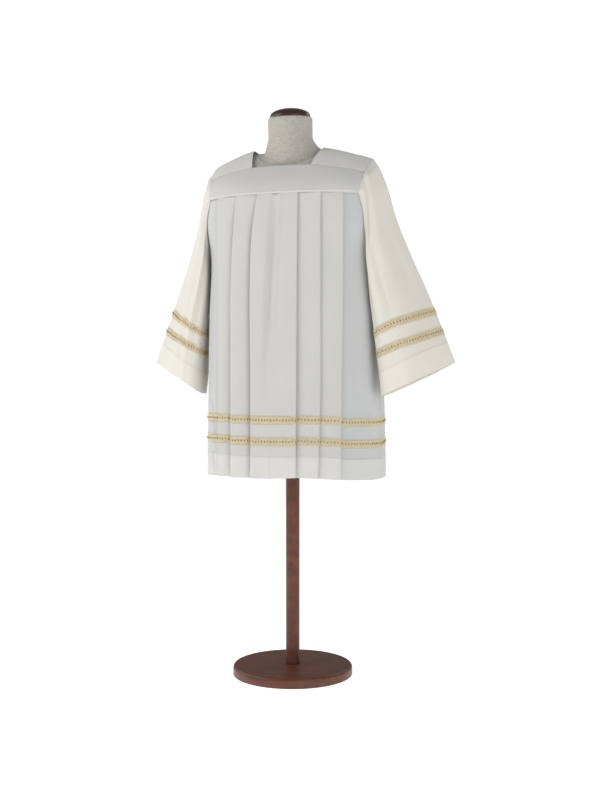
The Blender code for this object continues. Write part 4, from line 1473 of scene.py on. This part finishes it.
def make_form(materials):
    """The dress form: torso and neck, cap, pole and base."""
    top, _, _, middle = FORM_NECK[-1]
    low = top + SEAM_GAP
    cap = [(CAP_RADIUS - 0.0008, low), (CAP_RADIUS, low + 0.0008), (CAP_RADIUS + 0.0005, low + CAP_EDGE)]
    cap += [
        (CAP_RADIUS * math.cos(turn), low + CAP_EDGE + CAP_DOME * math.sin(turn))
        for turn in np.linspace(0.06, 1.5, 18)
    ]
    base = [(BASE_RADIUS - 0.002, 0.0), (BASE_RADIUS - 0.0006, 0.0006), (BASE_RADIUS, 0.002)]
    for turn in np.linspace(0, math.pi / 2, 10):
        radius = BASE_RADIUS - BASE_ROUNDING * (1 - math.cos(turn))
        base.append((radius, BASE_THICKNESS - BASE_ROUNDING * (1 - math.sin(turn))))
    base += [(0.12, BASE_THICKNESS), (0.06, BASE_THICKNESS)]
    foot = BASE_THICKNESS + SEAM_GAP
    head = FORM_BODY[0][0] - SEAM_GAP
    pole = [(POLE_RADIUS, height) for height in (foot, foot + 0.25, foot + 0.5, head)]
    return [
        make_torso(materials["linen"]),
        make_turned("neck_cap", "form_cap", cap, materials["dark_wood"], middle, NECK_LEAN),
        make_turned("stand_pole", "form_pole", pole, materials["red_wood"]),
        make_turned("stand_base", "form_base", base, materials["red_wood"]),
    ]


# Stage

def make_stage():
    """A wide pale floor."""
    turns = np.linspace(0, 2 * math.pi, FLOOR_SIDES, endpoint=False)
    corners = FLOOR_RADIUS * np.stack([np.cos(turns), np.sin(turns), 0 * turns], axis=-1)
    material = new_material("floor", (0.93, 0.93, 0.93), 0.95)
    surface = material.node_tree.nodes["Principled BSDF"]
    surface.inputs["Emission Color"].default_value = (1.0, 1.0, 1.0, 1.0)
    surface.inputs["Emission Strength"].default_value = FLOOR_GLOW
    make_mesh("floor", corners, [list(range(FLOOR_SIDES))], material)


def add_light(name, turn, distance, height, size, power, colour):
    """A soft square light at a turn about the form's axis, aimed at the surplice."""
    data = bpy.data.lights.new(name, "AREA")
    data.size = size
    data.energy = power
    data.color = colour
    item = bpy.data.objects.new(name, data)
    turn = math.radians(turn)
    item.location = (distance * math.sin(turn), -distance * math.cos(turn), height)
    aim = bpy.data.objects.new(f"{name}_aim", None)
    aim.location = (0.0, 0.0, LIGHT_AIM)
    bpy.context.scene.collection.objects.link(aim)
    bpy.context.scene.collection.objects.link(item)
    constraint = item.constraints.new("TRACK_TO")
    constraint.target = aim


def set_lighting():
    """Soft studio light, strongest from the front left, in a surround seen white that lights gently."""
    world = bpy.data.worlds.new("surround")
    bpy.context.scene.world = world
    world.use_nodes = True
    background = world.node_tree.nodes["Background"]
    background.inputs["Color"].default_value = (0.98, 0.99, 1.0, 1.0)
    seen = world.node_tree.nodes.new("ShaderNodeLightPath")
    strength = world.node_tree.nodes.new("ShaderNodeMapRange")
    strength.inputs["To Min"].default_value = SURROUND_LIGHT
    strength.inputs["To Max"].default_value = SURROUND_SEEN
    world.node_tree.links.new(seen.outputs["Is Camera Ray"], strength.inputs["Value"])
    world.node_tree.links.new(strength.outputs["Result"], background.inputs["Strength"])
    for light in LIGHTS:
        add_light(*light)
    bpy.context.scene.view_settings.view_transform = "Standard"


def set_camera():
    """The photo's camera."""
    data = bpy.data.cameras.new("camera")
    data.lens = CAMERA_LENS
    data.sensor_width = 36
    item = bpy.data.objects.new("camera", data)
    sine = math.sin(CAMERA_TURN)
    cosine = math.cos(CAMERA_TURN)
    item.location = (CAMERA_DISTANCE * sine, -CAMERA_DISTANCE * cosine, CAMERA_HEIGHT)
    aim = np.array([AIM_ASIDE * cosine, AIM_ASIDE * sine, AIM_HEIGHT])
    direction = aim - np.array(item.location)
    flat = math.hypot(direction[0], direction[1])
    item.rotation_euler = (
        math.pi / 2 + math.atan2(direction[2], flat), 0.0, math.atan2(-direction[0], direction[1])
    )
    bpy.context.scene.collection.objects.link(item)
    bpy.context.scene.camera = item


def finish_pieces(items):
    """Fixes pieces to the frame's one body."""
    for item in items:
        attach(item, "root")


def make_trims(label, strips_at, materials, flip):
    """Both trims of a panel or a sleeve, from the function that gives their strips above its edge."""
    trims = []
    for level, above_edge in TRIMS:
        strips = strips_at(above_edge)
        trims += make_trim(f"{label}_{level}_trim", f"trim_{label}_{level}", strips, materials, flip)
    finish_pieces(trims)
    return trims


def build():
    """Everything that the render shows."""
    set_camera()
    set_lighting()
    make_stage()
    materials = make_materials()
    thread = materials["white_thread"]
    for label, facing in (("front", FRONT), ("back", BACK)):
        panel = make_panel(label, facing, materials["body_cloth"])
        yoke = make_yoke(label, facing, materials["yoke_cloth_painted_shade"])
        rows = panel_strips(facing, TURN_UP_STITCHES, STITCH_ROW)
        hem_stitches = make_stitches(f"{label}_hem_stitches", rows, thread)
        rows = [yoke_strip(facing, depth, reach) for depth, reach in YOKE_STITCHES]
        yoke_stitches = make_stitches(f"{label}_yoke_stitches", rows, thread)
        finish_pieces((panel, yoke, hem_stitches, yoke_stitches))
        trims = make_trims(label, partial(panel_strips, facing), materials, facing == BACK)
    for label, side in (("left", 1), ("right", -1)):
        shoulder = make_shoulder(label, side, materials["shoulder_cloth"])
        sleeve = make_sleeve(label, side, materials["sleeve_cloth_painted_light"])
        rows = sleeve_strips(label, side, TURN_UP_STITCHES, STITCH_ROW)
        stitches = make_stitches(f"sleeve_{label}_stitches", rows, thread)
        finish_pieces((shoulder, sleeve, stitches))
        trims = make_trims(f"sleeve_{label}", partial(sleeve_strips, label, side), materials, side < 0)
    slots = ("linen", "dark_wood", "red_wood", "red_wood")
    for item, slot in zip(make_form(materials), slots):
        finish_pieces((item,))


build()
